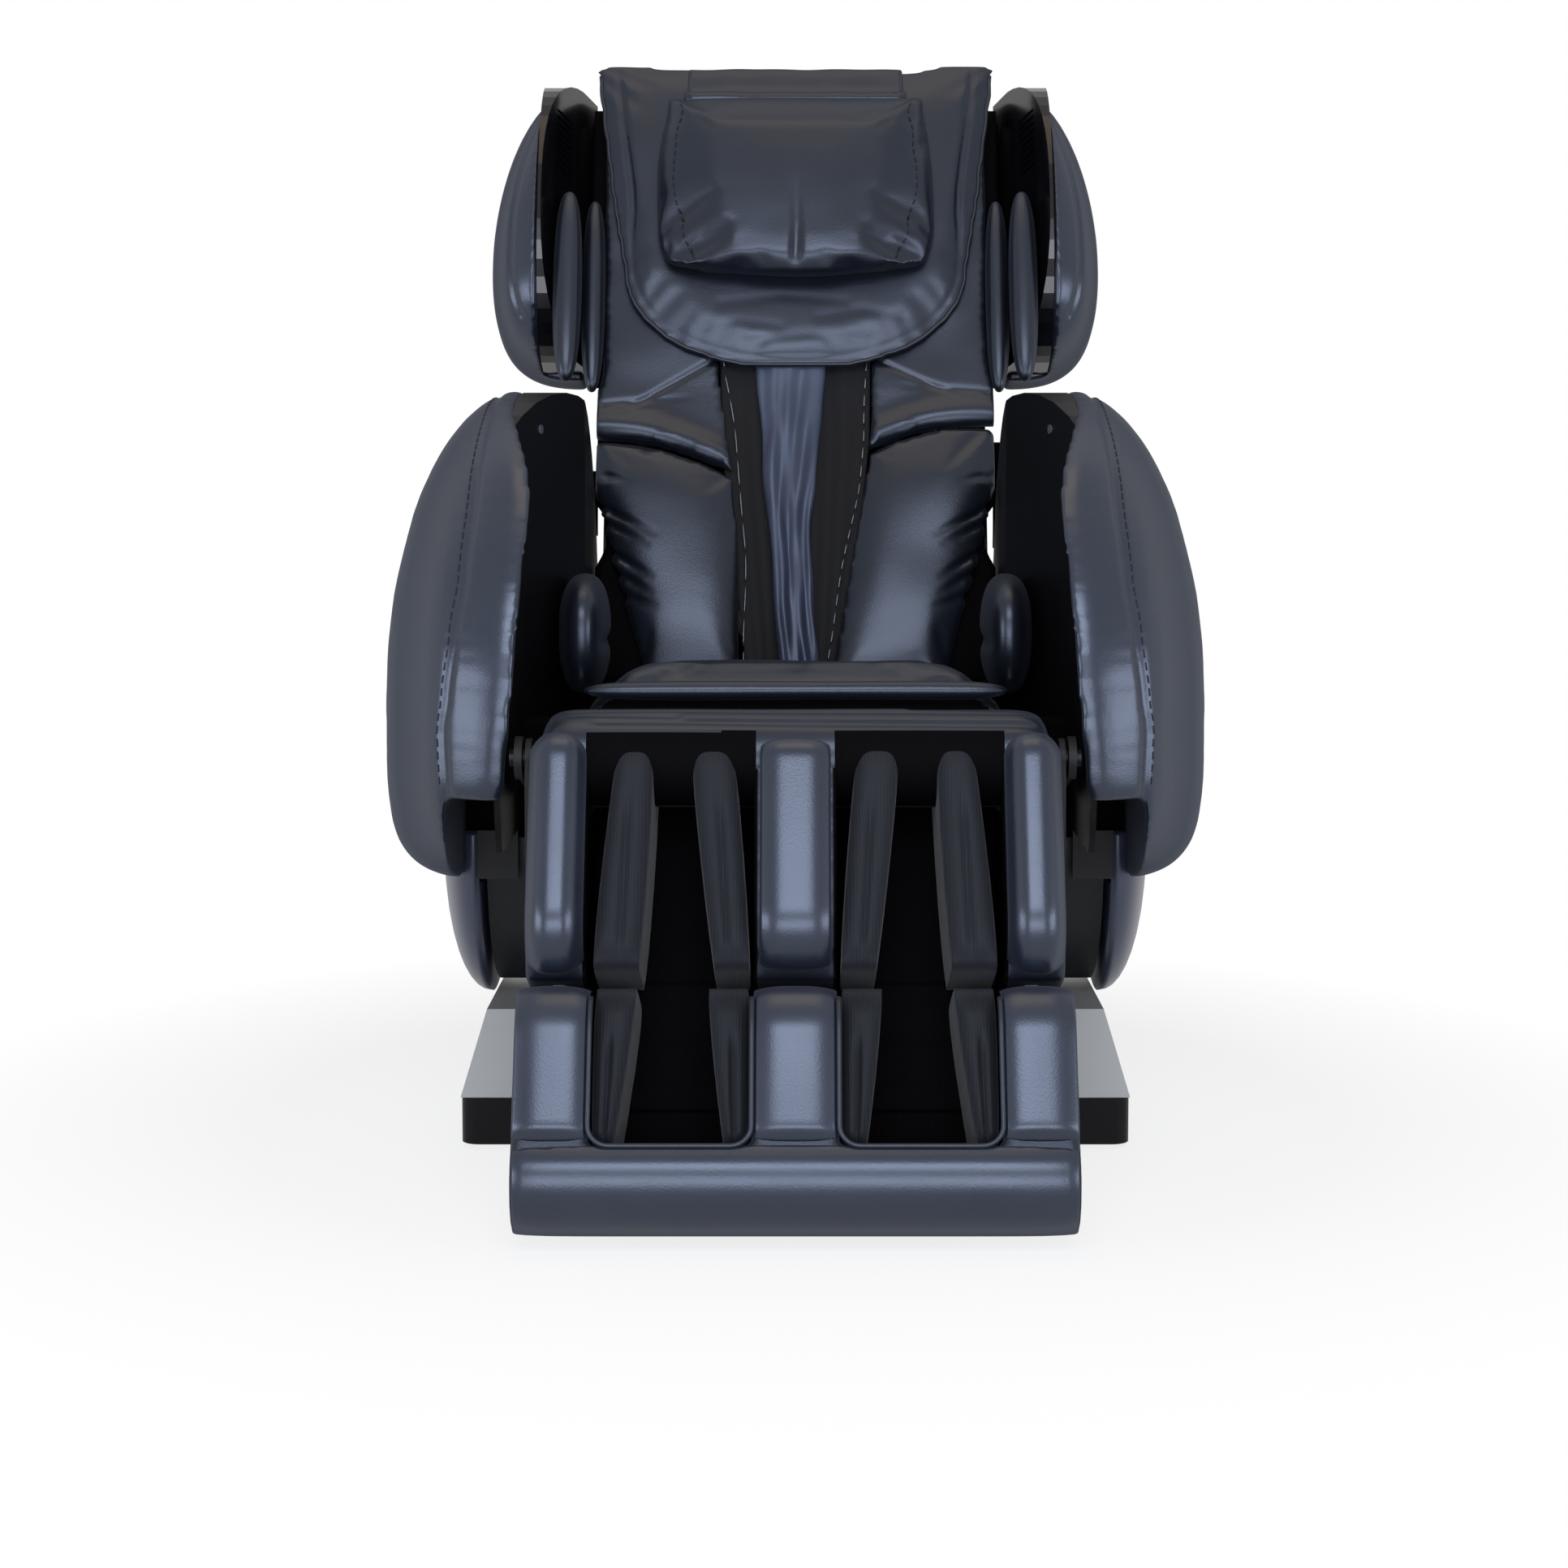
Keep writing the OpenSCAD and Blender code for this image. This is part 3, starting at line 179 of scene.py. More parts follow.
def joined(name, pieces):
    """One piece out of several, under a new name."""
    points, faces = [], []
    for piece in pieces:
        start = len(points)
        points += [v.co.copy() for v in piece.data.vertices]
        faces += [[start + v for v in face.vertices] for face in piece.data.polygons]
        bpy.data.objects.remove(piece)
    return piece_from(name, points, faces, Matrix.Identity(4))


def mirrored(name, piece):
    """Copy of a piece on the other side of the chair."""
    points = [(-v.co.x, v.co.y, v.co.z) for v in piece.data.vertices]
    faces = [tuple(reversed(face.vertices)) for face in piece.data.polygons]
    return piece_from(name, points, faces, Matrix.Identity(4))


def baked(piece):
    """The piece with its modifiers worked into its mesh."""
    graph = bpy.context.evaluated_depsgraph_get()
    mesh = bpy.data.meshes.new_from_object(piece.evaluated_get(graph), depsgraph=graph)
    piece.modifiers.clear()
    piece.data = mesh
    for face in mesh.polygons:
        face.use_smooth = True
    return piece


def cut(piece, cutters, operation="DIFFERENCE"):
    """Take closed cutters out of a piece, or join them to it, and drop them."""
    for cutter in cutters:
        blade = piece.modifiers.new("cut", "BOOLEAN")
        blade.operation = operation
        blade.object = cutter
    baked(piece)
    for cutter in cutters:
        bpy.data.objects.remove(cutter)
    return piece


def arc(middle, radius, start, end, count=8):
    """Points of an arc in the (depth, height) plane, in degrees."""
    turns = [math.radians(mix(start, end, k / count)) for k in range(count + 1)]
    return [(middle[0] + radius * math.cos(t), middle[1] + radius * math.sin(t)) for t in turns]


def round_rings(middle, sizes, last, count):
    """Rings of a round roll that lies across the chair, through its (x, radius) sizes."""
    return [[(x, n, s) for n, s in arc(middle, radius, 0, last, count)] for x, radius in sizes]


def block(name, low, high, place):
    """Plain cutting block between two corners."""
    ring = [(low[0], low[1]), (high[0], low[1]), (high[0], high[1]), (low[0], high[1])]
    return lofted(name, [[(x, y, z) for x, y in ring] for z in (low[2], high[2])], place)


def softened(piece, steps):
    """Relax a mesh; the caller bakes it."""
    relax = piece.modifiers.new("soften", "SMOOTH")
    relax.factor = 0.5
    relax.iterations = steps


def even(piece, size, soften=0):
    """Even mesh of one voxel size in millimetres, with its edges softened."""
    grain = piece.modifiers.new("even", "REMESH")
    grain.mode = "VOXEL"
    grain.voxel_size = size / 1000
    softened(piece, soften)
    return baked(piece)


def finer(piece, levels=1):
    step = piece.modifiers.new("finer", "SUBSURF")
    step.levels = step.render_levels = levels
    return baked(piece)


def points_of(mesh, what="co"):
    """Places (co) or directions (normal) of a mesh's vertices, one to a row."""
    values = np.empty(len(mesh.vertices) * 3, np.float32)
    mesh.vertices.foreach_get(what, values)
    return values.reshape(-1, 3).astype(float)


def set_points(mesh, co):
    mesh.vertices.foreach_set("co", co.astype(np.float32).ravel())
    mesh.update()


CLOTH_FRAMES = 20
STUFFING = 4.0


def stuffed(piece, place, cap, held, soften=3):
    """Blow a pad up as sewn cloth, where no point moves more than cap and held ones stay."""
    start = points_of(piece.data)
    back = place.inverted()
    fixed = [i for i, co in enumerate(start) if held(back @ Vector(co))]
    piece.vertex_groups.new(name="held").add(fixed, 1.0, "REPLACE")
    cloth = piece.modifiers.new("stuffing", "CLOTH")
    cloth.settings.quality = 4
    cloth.settings.use_pressure = True
    cloth.settings.uniform_pressure_force = STUFFING
    cloth.settings.effector_weights.gravity = 0
    cloth.settings.vertex_group_mass = "held"
    cloth.point_cache.frame_start = 1
    cloth.point_cache.frame_end = CLOTH_FRAMES
    for number in range(1, CLOTH_FRAMES + 1):
        bpy.context.scene.frame_set(number)
    baked(piece)
    bpy.context.scene.frame_set(1)
    moved = points_of(piece.data) - start
    far = np.linalg.norm(moved, axis=1, keepdims=True)
    set_points(piece.data, start + moved * np.minimum(1, cap / 1000 / np.maximum(far, 1e-9)))
    piece.vertex_groups.clear()
    softened(piece, soften)
    return baked(piece)


def pressed(piece, place, lines):
    """Press sewn lines into a piece: (points, half width, depth at the start and at the end)."""
    co = points_of(piece.data)
    normals = points_of(piece.data, "normal")
    push = np.zeros(len(co))
    for points, half, first, last in lines:
        line = [np.array(place @ Vector(p)) for p in points]
        lengths = [np.linalg.norm(b - a) for a, b in zip(line, line[1:])]
        nearest = np.full(len(co), 9.0)
        share = np.zeros(len(co))
        gone = 0.0
        for a, b, length in zip(line, line[1:], lengths):
            t = np.clip((co - a) @ (b - a) / length**2, 0, 1)
            off = np.linalg.norm(co - a - t[:, None] * (b - a), axis=1)
            closer = off < nearest
            nearest = np.where(closer, off, nearest)
            share = np.where(closer, (gone + t * length) / sum(lengths), share)
            gone += length
        depth = (first + (last - first) * share) / 1000
        push += depth * np.exp(-((nearest / (half / 1000)) ** 2))
    set_points(piece.data, co - normals * push[:, None])
    return piece


def rumpled(piece, height, size, seed, stretch=(1, 1, 1)):
    """Soft uneven swells of a stuffed skin: height and size in millimetres."""
    co = points_of(piece.data)
    normals = points_of(piece.data, "normal")
    shift = Vector((seed * 7.3, seed * 3.1, seed * 5.7))
    scale = [1000 / size / s for s in stretch]
    swell = [
        noise.noise(Vector((p[0] * scale[0], p[1] * scale[1], p[2] * scale[2])) + shift)
        for p in co
    ]
    set_points(piece.data, co + normals * (np.array(swell) * height / 1000)[:, None])
    return piece


def on_skin(piece, points, place, lift=0.0):
    """The nearest places on a piece's surface, lifted off it, in the section's millimetres."""
    tree = BVHTree.FromPolygons(
        [v.co for v in piece.data.vertices], [f.vertices for f in piece.data.polygons]
    )
    back = place.inverted()
    found = []
    for point in points:
        spot, normal, _, _ = tree.find_nearest(place @ Vector(point))
        found.append(back @ (spot + normal * lift / 1000))
    return found


def walked(points, step):
    """Points about step apart along a line."""
    line = [Vector(p) for p in points]
    made = []
    for a, b in zip(line, line[1:]):
        count = max(1, round((b - a).length / step))
        made += [a.lerp(b, k / count) for k in range(count)]
    return made + [line[-1]]


def stitching(name, line, place, stitch=8.0, gap=5.0, radius=0.9):
    """Thread that shows as short raised stitches along a line."""
    dense = walked(line, 1.0)
    made = []
    at = 0
    while at + stitch < len(dense):
        run = [dense[at + int(stitch * share)] for share in (0, 0.25, 0.5, 0.75, 1)]
        made.append(tube("stitch", run, radius, place, 6))
        at += int(stitch + gap)
    return joined(name, made)


# ---------- materials ----------


def linear(hex_colour):
    """sRGB hex colour as the linear numbers that a shader takes."""
    parts = [int(hex_colour[k : k + 2], 16) / 255 for k in (1, 3, 5)]
    return [c / 12.92 if c <= 0.04045 else ((c + 0.055) / 1.055) ** 2.4 for c in parts] + [1.0]


def add(tree, kind, settings=None, links=None):
    """Add a node, set its properties or inputs, and link sockets into its inputs."""
    node = tree.nodes.new(kind)
    for key, value in (settings or {}).items():
        if isinstance(key, str) and hasattr(node, key):
            setattr(node, key, value)
        else:
            node.inputs[key].default_value = value
    for key, socket in (links or {}).items():
        tree.links.new(socket, node.inputs[key])
    return node


def new_material(name):
    """Empty material with a principled shader, and the object's own coordinates."""
    material = bpy.data.materials.new(name)
    material.use_nodes = True
    tree = material.node_tree
    tree.nodes.clear()
    shader = add(tree, "ShaderNodeBsdfPrincipled")
    add(tree, "ShaderNodeOutputMaterial", links={"Surface": shader.outputs[0]})
    place = add(tree, "ShaderNodeTexCoord").outputs["Object"]
    return material, tree, shader, place


def per_mm(size):
    """Texture scale that repeats once in size millimetres."""
    return 1000 / size


PATCH_MM = 90  # faint uneven shading of a skin or a moulding
YARN_MM = 1.6


def leather(name, dark, light, grain_mm=2.2, rough=0.37, bump=0.15, gloss=0.5):
    """Coated split leather, embossed and satin: an even skin whose pebbles soften the highlights.

    The real pebbles are under 1 mm; they are drawn a little coarser so that they show.
    """
    material, tree, shader, place = new_material(name)
    pebbles = add(
        tree,
        "ShaderNodeTexVoronoi",
        {"feature": "SMOOTH_F1", "Scale": per_mm(grain_mm), "Smoothness": 0.6},
        {"Vector": place},
    )
    patches = add(
        tree,
        "ShaderNodeTexNoise",
        {"Scale": per_mm(PATCH_MM), "Detail": 2.0},
        {"Vector": place},
    )
    shade = add(
        tree,
        "ShaderNodeMapRange",
        {"From Min": 0.3, "From Max": 0.7},
        {"Value": patches.outputs["Fac"]},
    )
    colour = add(
        tree,
        "ShaderNodeMix",
        {"data_type": "RGBA", 6: linear(dark), 7: linear(light)},
        {0: shade.outputs[0]},
    )
    tree.links.new(colour.outputs[2], shader.inputs["Base Color"])
    satin = add(
        tree,
        "ShaderNodeMapRange",
        {"To Min": rough - 0.02, "To Max": rough + 0.02},
        {"Value": shade.outputs[0]},
    )
    # Seen at a flat angle the pebbles hide each other, and the gloss dies
    slant = add(tree, "ShaderNodeLayerWeight", {"Blend": 0.5})
    dull = add(
        tree,
        "ShaderNodeMapRange",
        {"From Min": 0.35, "From Max": 0.8, "To Max": 0.6},
        {"Value": slant.outputs["Facing"]},
    )
    blur = add(
        tree,
        "ShaderNodeMath",
        {"operation": "ADD"},
        {0: satin.outputs[0], 1: dull.outputs[0]},
    )
    tree.links.new(blur.outputs[0], shader.inputs["Roughness"])
    relief = add(
        tree,
        "ShaderNodeBump",
        {"Strength": bump, "Distance": 0.0004},
        {"Height": pebbles.outputs["Distance"]},
    )
    tree.links.new(relief.outputs[0], shader.inputs["Normal"])
    shader.inputs["Specular IOR Level"].default_value = gloss
    shader.inputs["Specular Tint"].default_value = linear("#dae7ff")
    return material


def moulded(name, dark, light, rough, grain_mm=1.2, bump=0.1, coat=0.0, gloss=0.5):
    """Moulded plastic: an even skin with a fine tool texture and faint flow marks."""
    material, tree, shader, place = new_material(name)
    flow = add(
        tree,
        "ShaderNodeTexNoise",
        {"Scale": per_mm(PATCH_MM), "Detail": 2.0},
        {"Vector": place},
    )
    spark = add(
        tree,
        "ShaderNodeTexNoise",
        {"Scale": per_mm(grain_mm), "Detail": 2.0},
        {"Vector": place},
    )
    colour = add(
        tree,
        "ShaderNodeMix",
        {"data_type": "RGBA", 6: linear(dark), 7: linear(light)},
        {0: flow.outputs["Fac"]},
    )
    tree.links.new(colour.outputs[2], shader.inputs["Base Color"])
    worn = add(
        tree,
        "ShaderNodeMapRange",
        {"To Min": max(rough - 0.04, 0.03), "To Max": rough + 0.06},
        {"Value": flow.outputs["Fac"]},
    )
    tree.links.new(worn.outputs[0], shader.inputs["Roughness"])
    relief = add(
        tree,
        "ShaderNodeBump",
        {"Strength": bump, "Distance": 0.0003},
        {"Height": spark.outputs["Fac"]},
    )
    tree.links.new(relief.outputs[0], shader.inputs["Normal"])
    shader.inputs["Specular IOR Level"].default_value = gloss
    shader.inputs["Coat Weight"].default_value = coat
    shader.inputs["Coat Roughness"].default_value = 0.06
    return material


def metal(name, dark, light, rough, grain_mm=0.8):
    """Drawn steel: bright, with fine scratches along the bar that blur its highlights."""
    material, tree, shader, place = new_material(name)
    long_way = add(tree, "ShaderNodeMapping", {"Scale": (0.05, 1.0, 1.0)}, {"Vector": place})
    scratches = add(
        tree,
        "ShaderNodeTexNoise",
        {"Scale": per_mm(grain_mm), "Detail": 3.0},
        {"Vector": long_way.outputs[0]},
    )
    colour = add(
        tree,
        "ShaderNodeMix",
        {"data_type": "RGBA", 6: linear(dark), 7: linear(light)},
        {0: scratches.outputs["Fac"]},
    )
    tree.links.new(colour.outputs[2], shader.inputs["Base Color"])
    blur = add(
        tree,
        "ShaderNodeMapRange",
        {"To Min": rough - 0.08, "To Max": rough + 0.08},
        {"Value": scratches.outputs["Fac"]},
    )
    tree.links.new(blur.outputs[0], shader.inputs["Roughness"])
    shader.inputs["Metallic"].default_value = 1.0
    return material


def ribbed_knit(name, dark, light, rib_mm=3.2, bump=0.25, sheen=0.12, gloss=0.2):
    """Warp-knitted polyester: soft ribs with a dull, slightly hairy face."""
    material, tree, shader, place = new_material(name)
    ribs = add(
        tree,
        "ShaderNodeTexWave",
        {
            "wave_type": "BANDS",
            "bands_direction": "X",
            "Scale": per_mm(rib_mm * math.pi),
            "Distortion": 0.6,
        },
        {"Vector": place},
    )
    yarn = add(
        tree,
        "ShaderNodeTexNoise",
        {"Scale": per_mm(YARN_MM), "Detail": 3.0},
        {"Vector": place},
    )
    colour = add(
        tree,
        "ShaderNodeMix",
        {"data_type": "RGBA", 6: linear(dark), 7: linear(light)},
        {0: ribs.outputs["Fac"]},
    )
    tree.links.new(colour.outputs[2], shader.inputs["Base Color"])
    face = add(
        tree,
        "ShaderNodeMath",
        {"operation": "MULTIPLY_ADD", 1: 0.5},
        {0: yarn.outputs["Fac"], 2: ribs.outputs["Fac"]},
    )
    relief = add(
        tree,
        "ShaderNodeBump",
        {"Strength": bump, "Distance": 0.0007},
        {"Height": face.outputs[0]},
    )
    tree.links.new(relief.outputs[0], shader.inputs["Normal"])
    shader.inputs["Roughness"].default_value = 0.72
    shader.inputs["Specular IOR Level"].default_value = gloss
    shader.inputs["Sheen Weight"].default_value = sheen
    shader.inputs["Sheen Roughness"].default_value = 0.4
    return material


# Coated split leather, blue-black: tight and satin over the hard shells, duller on cushions
SATIN_LEATHER = leather("satin_leather", "#151821", "#191c26", rough=0.28, gloss=0.62)
SOFT_LEATHER = leather("soft_leather", "#0f1118", "#13161e", rough=0.3, gloss=0.45)
STRIP_LEATHER = leather("strip_leather", "#2e3445", "#383f52", rough=0.42)
PIPING = leather("piping", "#0d0e12", "#131419", grain_mm=1.6, rough=0.4)
# Spun polyester: a dull dark thread, a shade lighter than the leather
THREAD = moulded("polyester_thread", "#14151a", "#202129", 0.6, 0.6, 0.4, gloss=0.2)
# Moulded ABS: polished black, textured black, painted grey, and a black satin dome whose blue-grey
# colour paints its bluish sheen
GLOSS = moulded("piano_black_plastic", "#060608", "#09090c", 0.14, 2.0, 0.02, gloss=0.3)
PANEL = moulded("satin_black_panel", "#050507", "#08080a", 0.42, 2.0, 0.04, gloss=0.1)
GREY_COVER = moulded("painted_abs_cover", "#8b8c8b", "#969795", 0.42, 0.9, 0.15)
SIDE_COVER = moulded("side_cover_painted_sheen", "#2b3040", "#343a4b", 0.34, 1.4, 0.12, gloss=0.4)
# Powder-coated steel with its orange-peel skin, then glass-filled nylon housings and rubber
FRAME_PAINT = moulded("powder_coat", "#0b0b0d", "#111114", 0.52, 1.5, 0.4, gloss=0.2)
HOUSING = moulded("moulded_housing", "#0f1013", "#16171b", 0.5, 1.0, 0.3, gloss=0.2)
RUBBER = moulded("moulded_rubber", "#111113", "#18181a", 0.68, 1.3, 0.3, gloss=0.2)
# Natural nylon: pale and waxy, and a clouded polycarbonate lens that is not lit
ROLLER = moulded("roller_nylon", "#b9b0a0", "#cbc3b4", 0.45, 1.2, 0.15)
LAMP = moulded("lamp_lens", "#3c4148", "#4b5159", 0.2, 1.0, 0.05)
# Drawn steel, bright under oil or blacked with oxide
STEEL = metal("drawn_steel", "#8b8e94", "#b4b7bc", 0.32)
BLACK_STEEL = metal("black_oxide_steel", "#1c1c1f", "#2a2a2d", 0.42)
# Polyester knits: on the airbags and over the roller track; and a near-black one that drinks
# light, which lines the leg wells and paints the shade there, in the gaps and on fronts in shade
KNIT = ribbed_knit("ribbed_knit", "#12141a", "#191b22", sheen=0.08)
TRACK_FABRIC = ribbed_knit("track_fabric", "#08090c", "#0e0f14", rib_mm=2.4, sheen=0.05)
LINING_AND_SHADE = ribbed_knit("black_lining_and_painted_shade", "#030304", "#060608", rib_mm=2.0, sheen=0.0, gloss=0.03)
# Dulled zinc teeth of a zip
ZIP_TEETH = metal("zip_teeth", "#4a4c52", "#7b7e85", 0.45)


def dressed(piece, material, body, nodes=()):
    """Give a piece its material and the body that it rides on, and hide the CAD nodes that it
    stands in for.
    """
    piece.data.materials.clear()
    piece.data.materials.append(material)
    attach(piece, body)
    if nodes:
        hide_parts(*nodes)
    return piece


def lined_and_shaded(piece, place, inside):
    """Give the faces of a piece that lie inside a region the near-black cloth: a lining in the
    wells, and painted shade there and elsewhere.
    """
    piece.data.materials.append(LINING_AND_SHADE)
    back = place.inverted()
    for face in piece.data.polygons:
        if inside(back @ face.center):
            face.material_index = 1


def both_sides(piece, material, body, slot, left_nodes=(), right_nodes=(), fill=None):
    """Dress a piece of the left side, and a mirror image of it for the right side."""
    other = mirrored(piece.name.replace("left", "right"), piece)
    dressed(piece, material, body, left_nodes)
    dressed(other, material, body, right_nodes)


def refinish(material, *nodes):
    """Give CAD nodes that stay in view their real finish."""
    for node in nodes:
        mesh = frame["nodes"][node].data
        mesh.materials.clear()
        mesh.materials.append(material)


refinish(PANEL, "arm_inner_left", "arm_inner_right", "foot_rails")
refinish(GLOSS, "rear_cover", "pod_panel_left", "pod_panel_right")
refinish(GREY_COVER, "base_cover_left", "base_cover_right")
refinish(FRAME_PAINT, "base_frame", "carriage_frame", "seat_frame", "back_frame")
refinish(FRAME_PAINT, "roller_carriage", "leg_hinge_plates", "arm_brackets", "pillow_rod")
refinish(BLACK_STEEL, "tilt_pins", "pivot_pins")
refinish(STEEL, "slide_rails", "slide_drive", "recline_rod")
refinish(STEEL, "roller_rails", "lift_drive", "kneading_shaft", "roller_arms", "foot_rods")
refinish(HOUSING, "control_box", "power_inlet", "air_pump", "recline_actuator")
refinish(HOUSING, "side_guard_left", "side_guard_right")
refinish(RUBBER, "rubber_feet", "transport_wheel_left", "transport_wheel_right")
refinish(ROLLER, "upper_rollers", "lower_rollers", "foot_roller")
refinish(LAMP, "arm_lamps")

# ---------- arms ----------

arm_low, arm_high = box_in("arm_shell_left", CHAIR)
ARM_MID_Y = 40
ARM_MID_Z = 470
BAND_END_Z = 410
BAND_END_X = 359
ARM_ROOT_X = arm_low.x - 6
# How far the padded band stands in front of the inner panel, and leans in over it by height
BAND_PROUD = 7
BAND_LEAN = [(353, 4), (414, 9), (514, 20), (616, 27), (712, 33), (776, 21), (832, 16)]
# Distance of the seam from the middle of the chair by height
SEAM_X = [(353, 357), (415, 357), (480, 360), (514, 355)]
SEAM_X += [(580, 347), (637, 339), (720, 335), (832, 331)]
TOP_ROUND = 2.05  # the arm is nearly round above its middle, and squarer below it
FOOT_ROUND = 3.6


def arm_point(x, turn, shrink=1.0, lean=1.0):
    """Point of the arm's skin at one distance from the middle of the chair."""
    out = min(max((x - ARM_ROOT_X) / (arm_high.x - ARM_ROOT_X), 0), 0.999)
    rise = (1 - out**TOP_ROUND) ** (1 / TOP_ROUND)
    drop = (1 - out**4) ** (1 / 4)
    along = (1 - out**2.4) ** (1 / 1.8)
    c, s = math.cos(turn), math.sin(turn)
    power = TOP_ROUND if s >= 0 else FOOT_ROUND
    reach_y = (arm_high.y - ARM_MID_Y) if c > 0 else (ARM_MID_Y - arm_low.y)
    reach_z = (arm_high.z - ARM_MID_Z) * rise if s > 0 else (ARM_MID_Z - arm_low.z) * drop
    y = ARM_MID_Y + reach_y * along * bent(c, power) * shrink
    z = ARM_MID_Z + reach_z * bent(s, power) * shrink
    front = smooth((-60 - y) / 140) * lean
    return (x - straight(z, BAND_LEAN) * front, y - BAND_PROUD * front, z)


def arm_ring(x, shrink=1.0, lean=1.0):
    """Closed outline of the arm at one distance from the middle of the chair."""
    return [arm_point(x, 2 * math.pi * k / 96, shrink, lean) for k in range(96)]


def arm_shell():
    """Padded arm: a domed side with a front and top band that curls in at its inner edge."""
    lip = [(9, 0.9, 0.2), (7, 0.94, 0.6), (5, 0.965, 0.9), (4, 0.982, 1.0), (6, 0.994, 1.0)]
    rings = [arm_ring(ARM_ROOT_X + x, shrink, lean) for x, shrink, lean in lip]
    for k in range(1, 17):
        out = math.sin(mix(0.03, math.pi / 2, k / 16))
        rings.append(arm_ring(mix(ARM_ROOT_X, arm_high.x, out), 1.0, 1 - smooth(out / 0.5)))
    shell = lofted("arm_cover_left", rings, CHAIR)
    cut(shell, [block("band_end", (0, -600, 0), (BAND_END_X, 600, BAND_END_Z), CHAIR)])
    return even(shell, 5, 12)


def arm_seam(shift=0.0):
    """Line of the seam between side and band, from behind the top to the band's front end."""
    line = []
    for k in range(80):
        turn = math.radians(mix(40, 214, k / 79))
        x = 340.0
        for _ in range(4):
            spot = arm_point(x + shift, turn, 1.0, 1 - smooth((x - ARM_ROOT_X) / 78))
            x += (between(spot[2], SEAM_X) + shift - spot[0]) * 0.8
        if spot[2] > BAND_END_Z + 4:
            line.append(spot)
    return line


arm_left = arm_shell()
seam = on_skin(arm_left, arm_seam(), CHAIR)
pressed(arm_left, CHAIR, [(seam, 5, 3.2, 3.2)])
rumpled(arm_left, 1.0, 45, 3, (3, 3, 1))
finer(arm_left)
rumpled(arm_left, 0.25, 12, 4, (6, 5, 1))
thread_line = on_skin(arm_left, arm_seam(6), CHAIR, 0.2)
arm_thread_left = stitching("arm_stitching_left", thread_line, CHAIR)
both_sides(arm_left, SATIN_LEATHER, "seat", "leather", ["arm_shell_left"], ["arm_shell_right"])
both_sides(arm_thread_left, THREAD, "seat", "leather")

# ---------- lower side covers ----------

side_low, side_high = box_in("side_cover_left", CHAIR)


def side_cover():
    """Domed moulded cover about the tilt hinge, cut off straight below the arm."""
    radius = side_high.y - TILT_Y
    middle_z = side_low.z + radius
    rings = []
    for k in range(13):
        share = math.cos(mix(0, math.pi / 2 * 0.97, k / 12))
        bulge = (1 - share**2.2) ** (1 / 2.2)
        x = mix(side_low.x, side_high.x, bulge)
        ring = []
        for a in range(72):
            t = 2 * math.pi * a / 72
            y = TILT_Y + radius * share * math.cos(t)
            ring.append((x, y, middle_z + radius * share * math.sin(t)))
        rings.append(ring)
    cover = lofted("side_cover_dome_left", rings, CHAIR)
    above = block("above", (300, -400, side_high.z), (500, 500, 700), CHAIR)
    return cut(cover, [above])


cover_nodes = (["side_cover_left"], ["side_cover_right"])
both_sides(side_cover(), SIDE_COVER, "seat", "side_cover", *cover_nodes)

# ---------- black sheets of painted shade beside the seat ---

guard_low, guard_high = box_in("side_guard_left", CHAIR)


def gap_shade_point(u, v, front):
    """Black sheet of painted shade that hangs from the arm's inner panel down to the side guard.
    """
    x = mix(254, BAND_END_X + 3, u)
    y = guard_low.y + 8 + 1.5 * math.sin(14 * u)
    return (x, y if front else y + 3, mix(guard_high.z - 50, 474, v))


gap_shade_sheet = pad("gap_cloth_left", CHAIR, gap_shade_point, (16, 16))
both_sides(gap_shade_sheet, LINING_AND_SHADE, "seat", "knit")

# Black sheet of painted shade upright behind each arm's inner panel: it closes more of the gap on
# the left
BEHIND_ARM = [(241.2, 296), (262, 296), (262, 300), (241.2, 300)]
for side, name, low, high in ((1, "left", 640, 769), (-1, "right", 655, 734)):
    rings = [
        [(side * x, y + 1.5 * math.sin(z / 9), z) for x, y in BEHIND_ARM]
        for z in np.linspace(low, high, 16)
    ]
    arm_shade_sheet = lofted("arm_side_shade_sheet_" + name, rings, CHAIR)
    dressed(arm_shade_sheet, LINING_AND_SHADE, "seat")


def seat_shade_point(u, v, front):
    """Black sheet of painted shade between the rear of the seat and the arm's inner panel."""
    y = 96 + 2 * math.sin(12 * v)
    return (mix(214, 242, u), y if front else y + 3, mix(430, 532, v))


seat_shade_sheet = pad("seat_side_cloth_left", CHAIR, seat_shade_point, (6, 16))
both_sides(seat_shade_sheet, LINING_AND_SHADE, "seat", "knit")

# ---------- seat ----------

seat_low, seat_high = box_in("seat_cushion", CHAIR)
SEAT_ROLL = 62
# The seat's front below its roll is painted near-black, as shade
SEAT_SETBACK = 16  # the dark front below the roll stands back from the edge


def seat_point(u, v, side):
    """Seat cushion: u across it and v from its front roll to the back."""
    pull = 7 * math.sin(math.pi * v)
    x = mix(seat_low.x + 3 + pull, seat_high.x - 3 - pull, u)
    y = mix(seat_low.y + SEAT_SETBACK, seat_high.y, v)
    if not side:
        return (x, y, seat_low.z + 1)
    roll = math.sqrt(max(0, 1 - max(0, 1 - (y - seat_low.y) / SEAT_ROLL) ** 2.4))
    ends = 20 * (1 - smooth(min(u, 1 - u) / 0.11))
    crest = 15 * math.exp(-(((y - seat_low.y - 40) / 30) ** 2))
    top = mix(seat_high.z, seat_high.z - 14, smooth((v - 0.1) / 0.5)) + crest
    return (x, y, mix(seat_low.z + 34, top, roll) + (14 * hump(u, 6) - ends) * roll - 8)


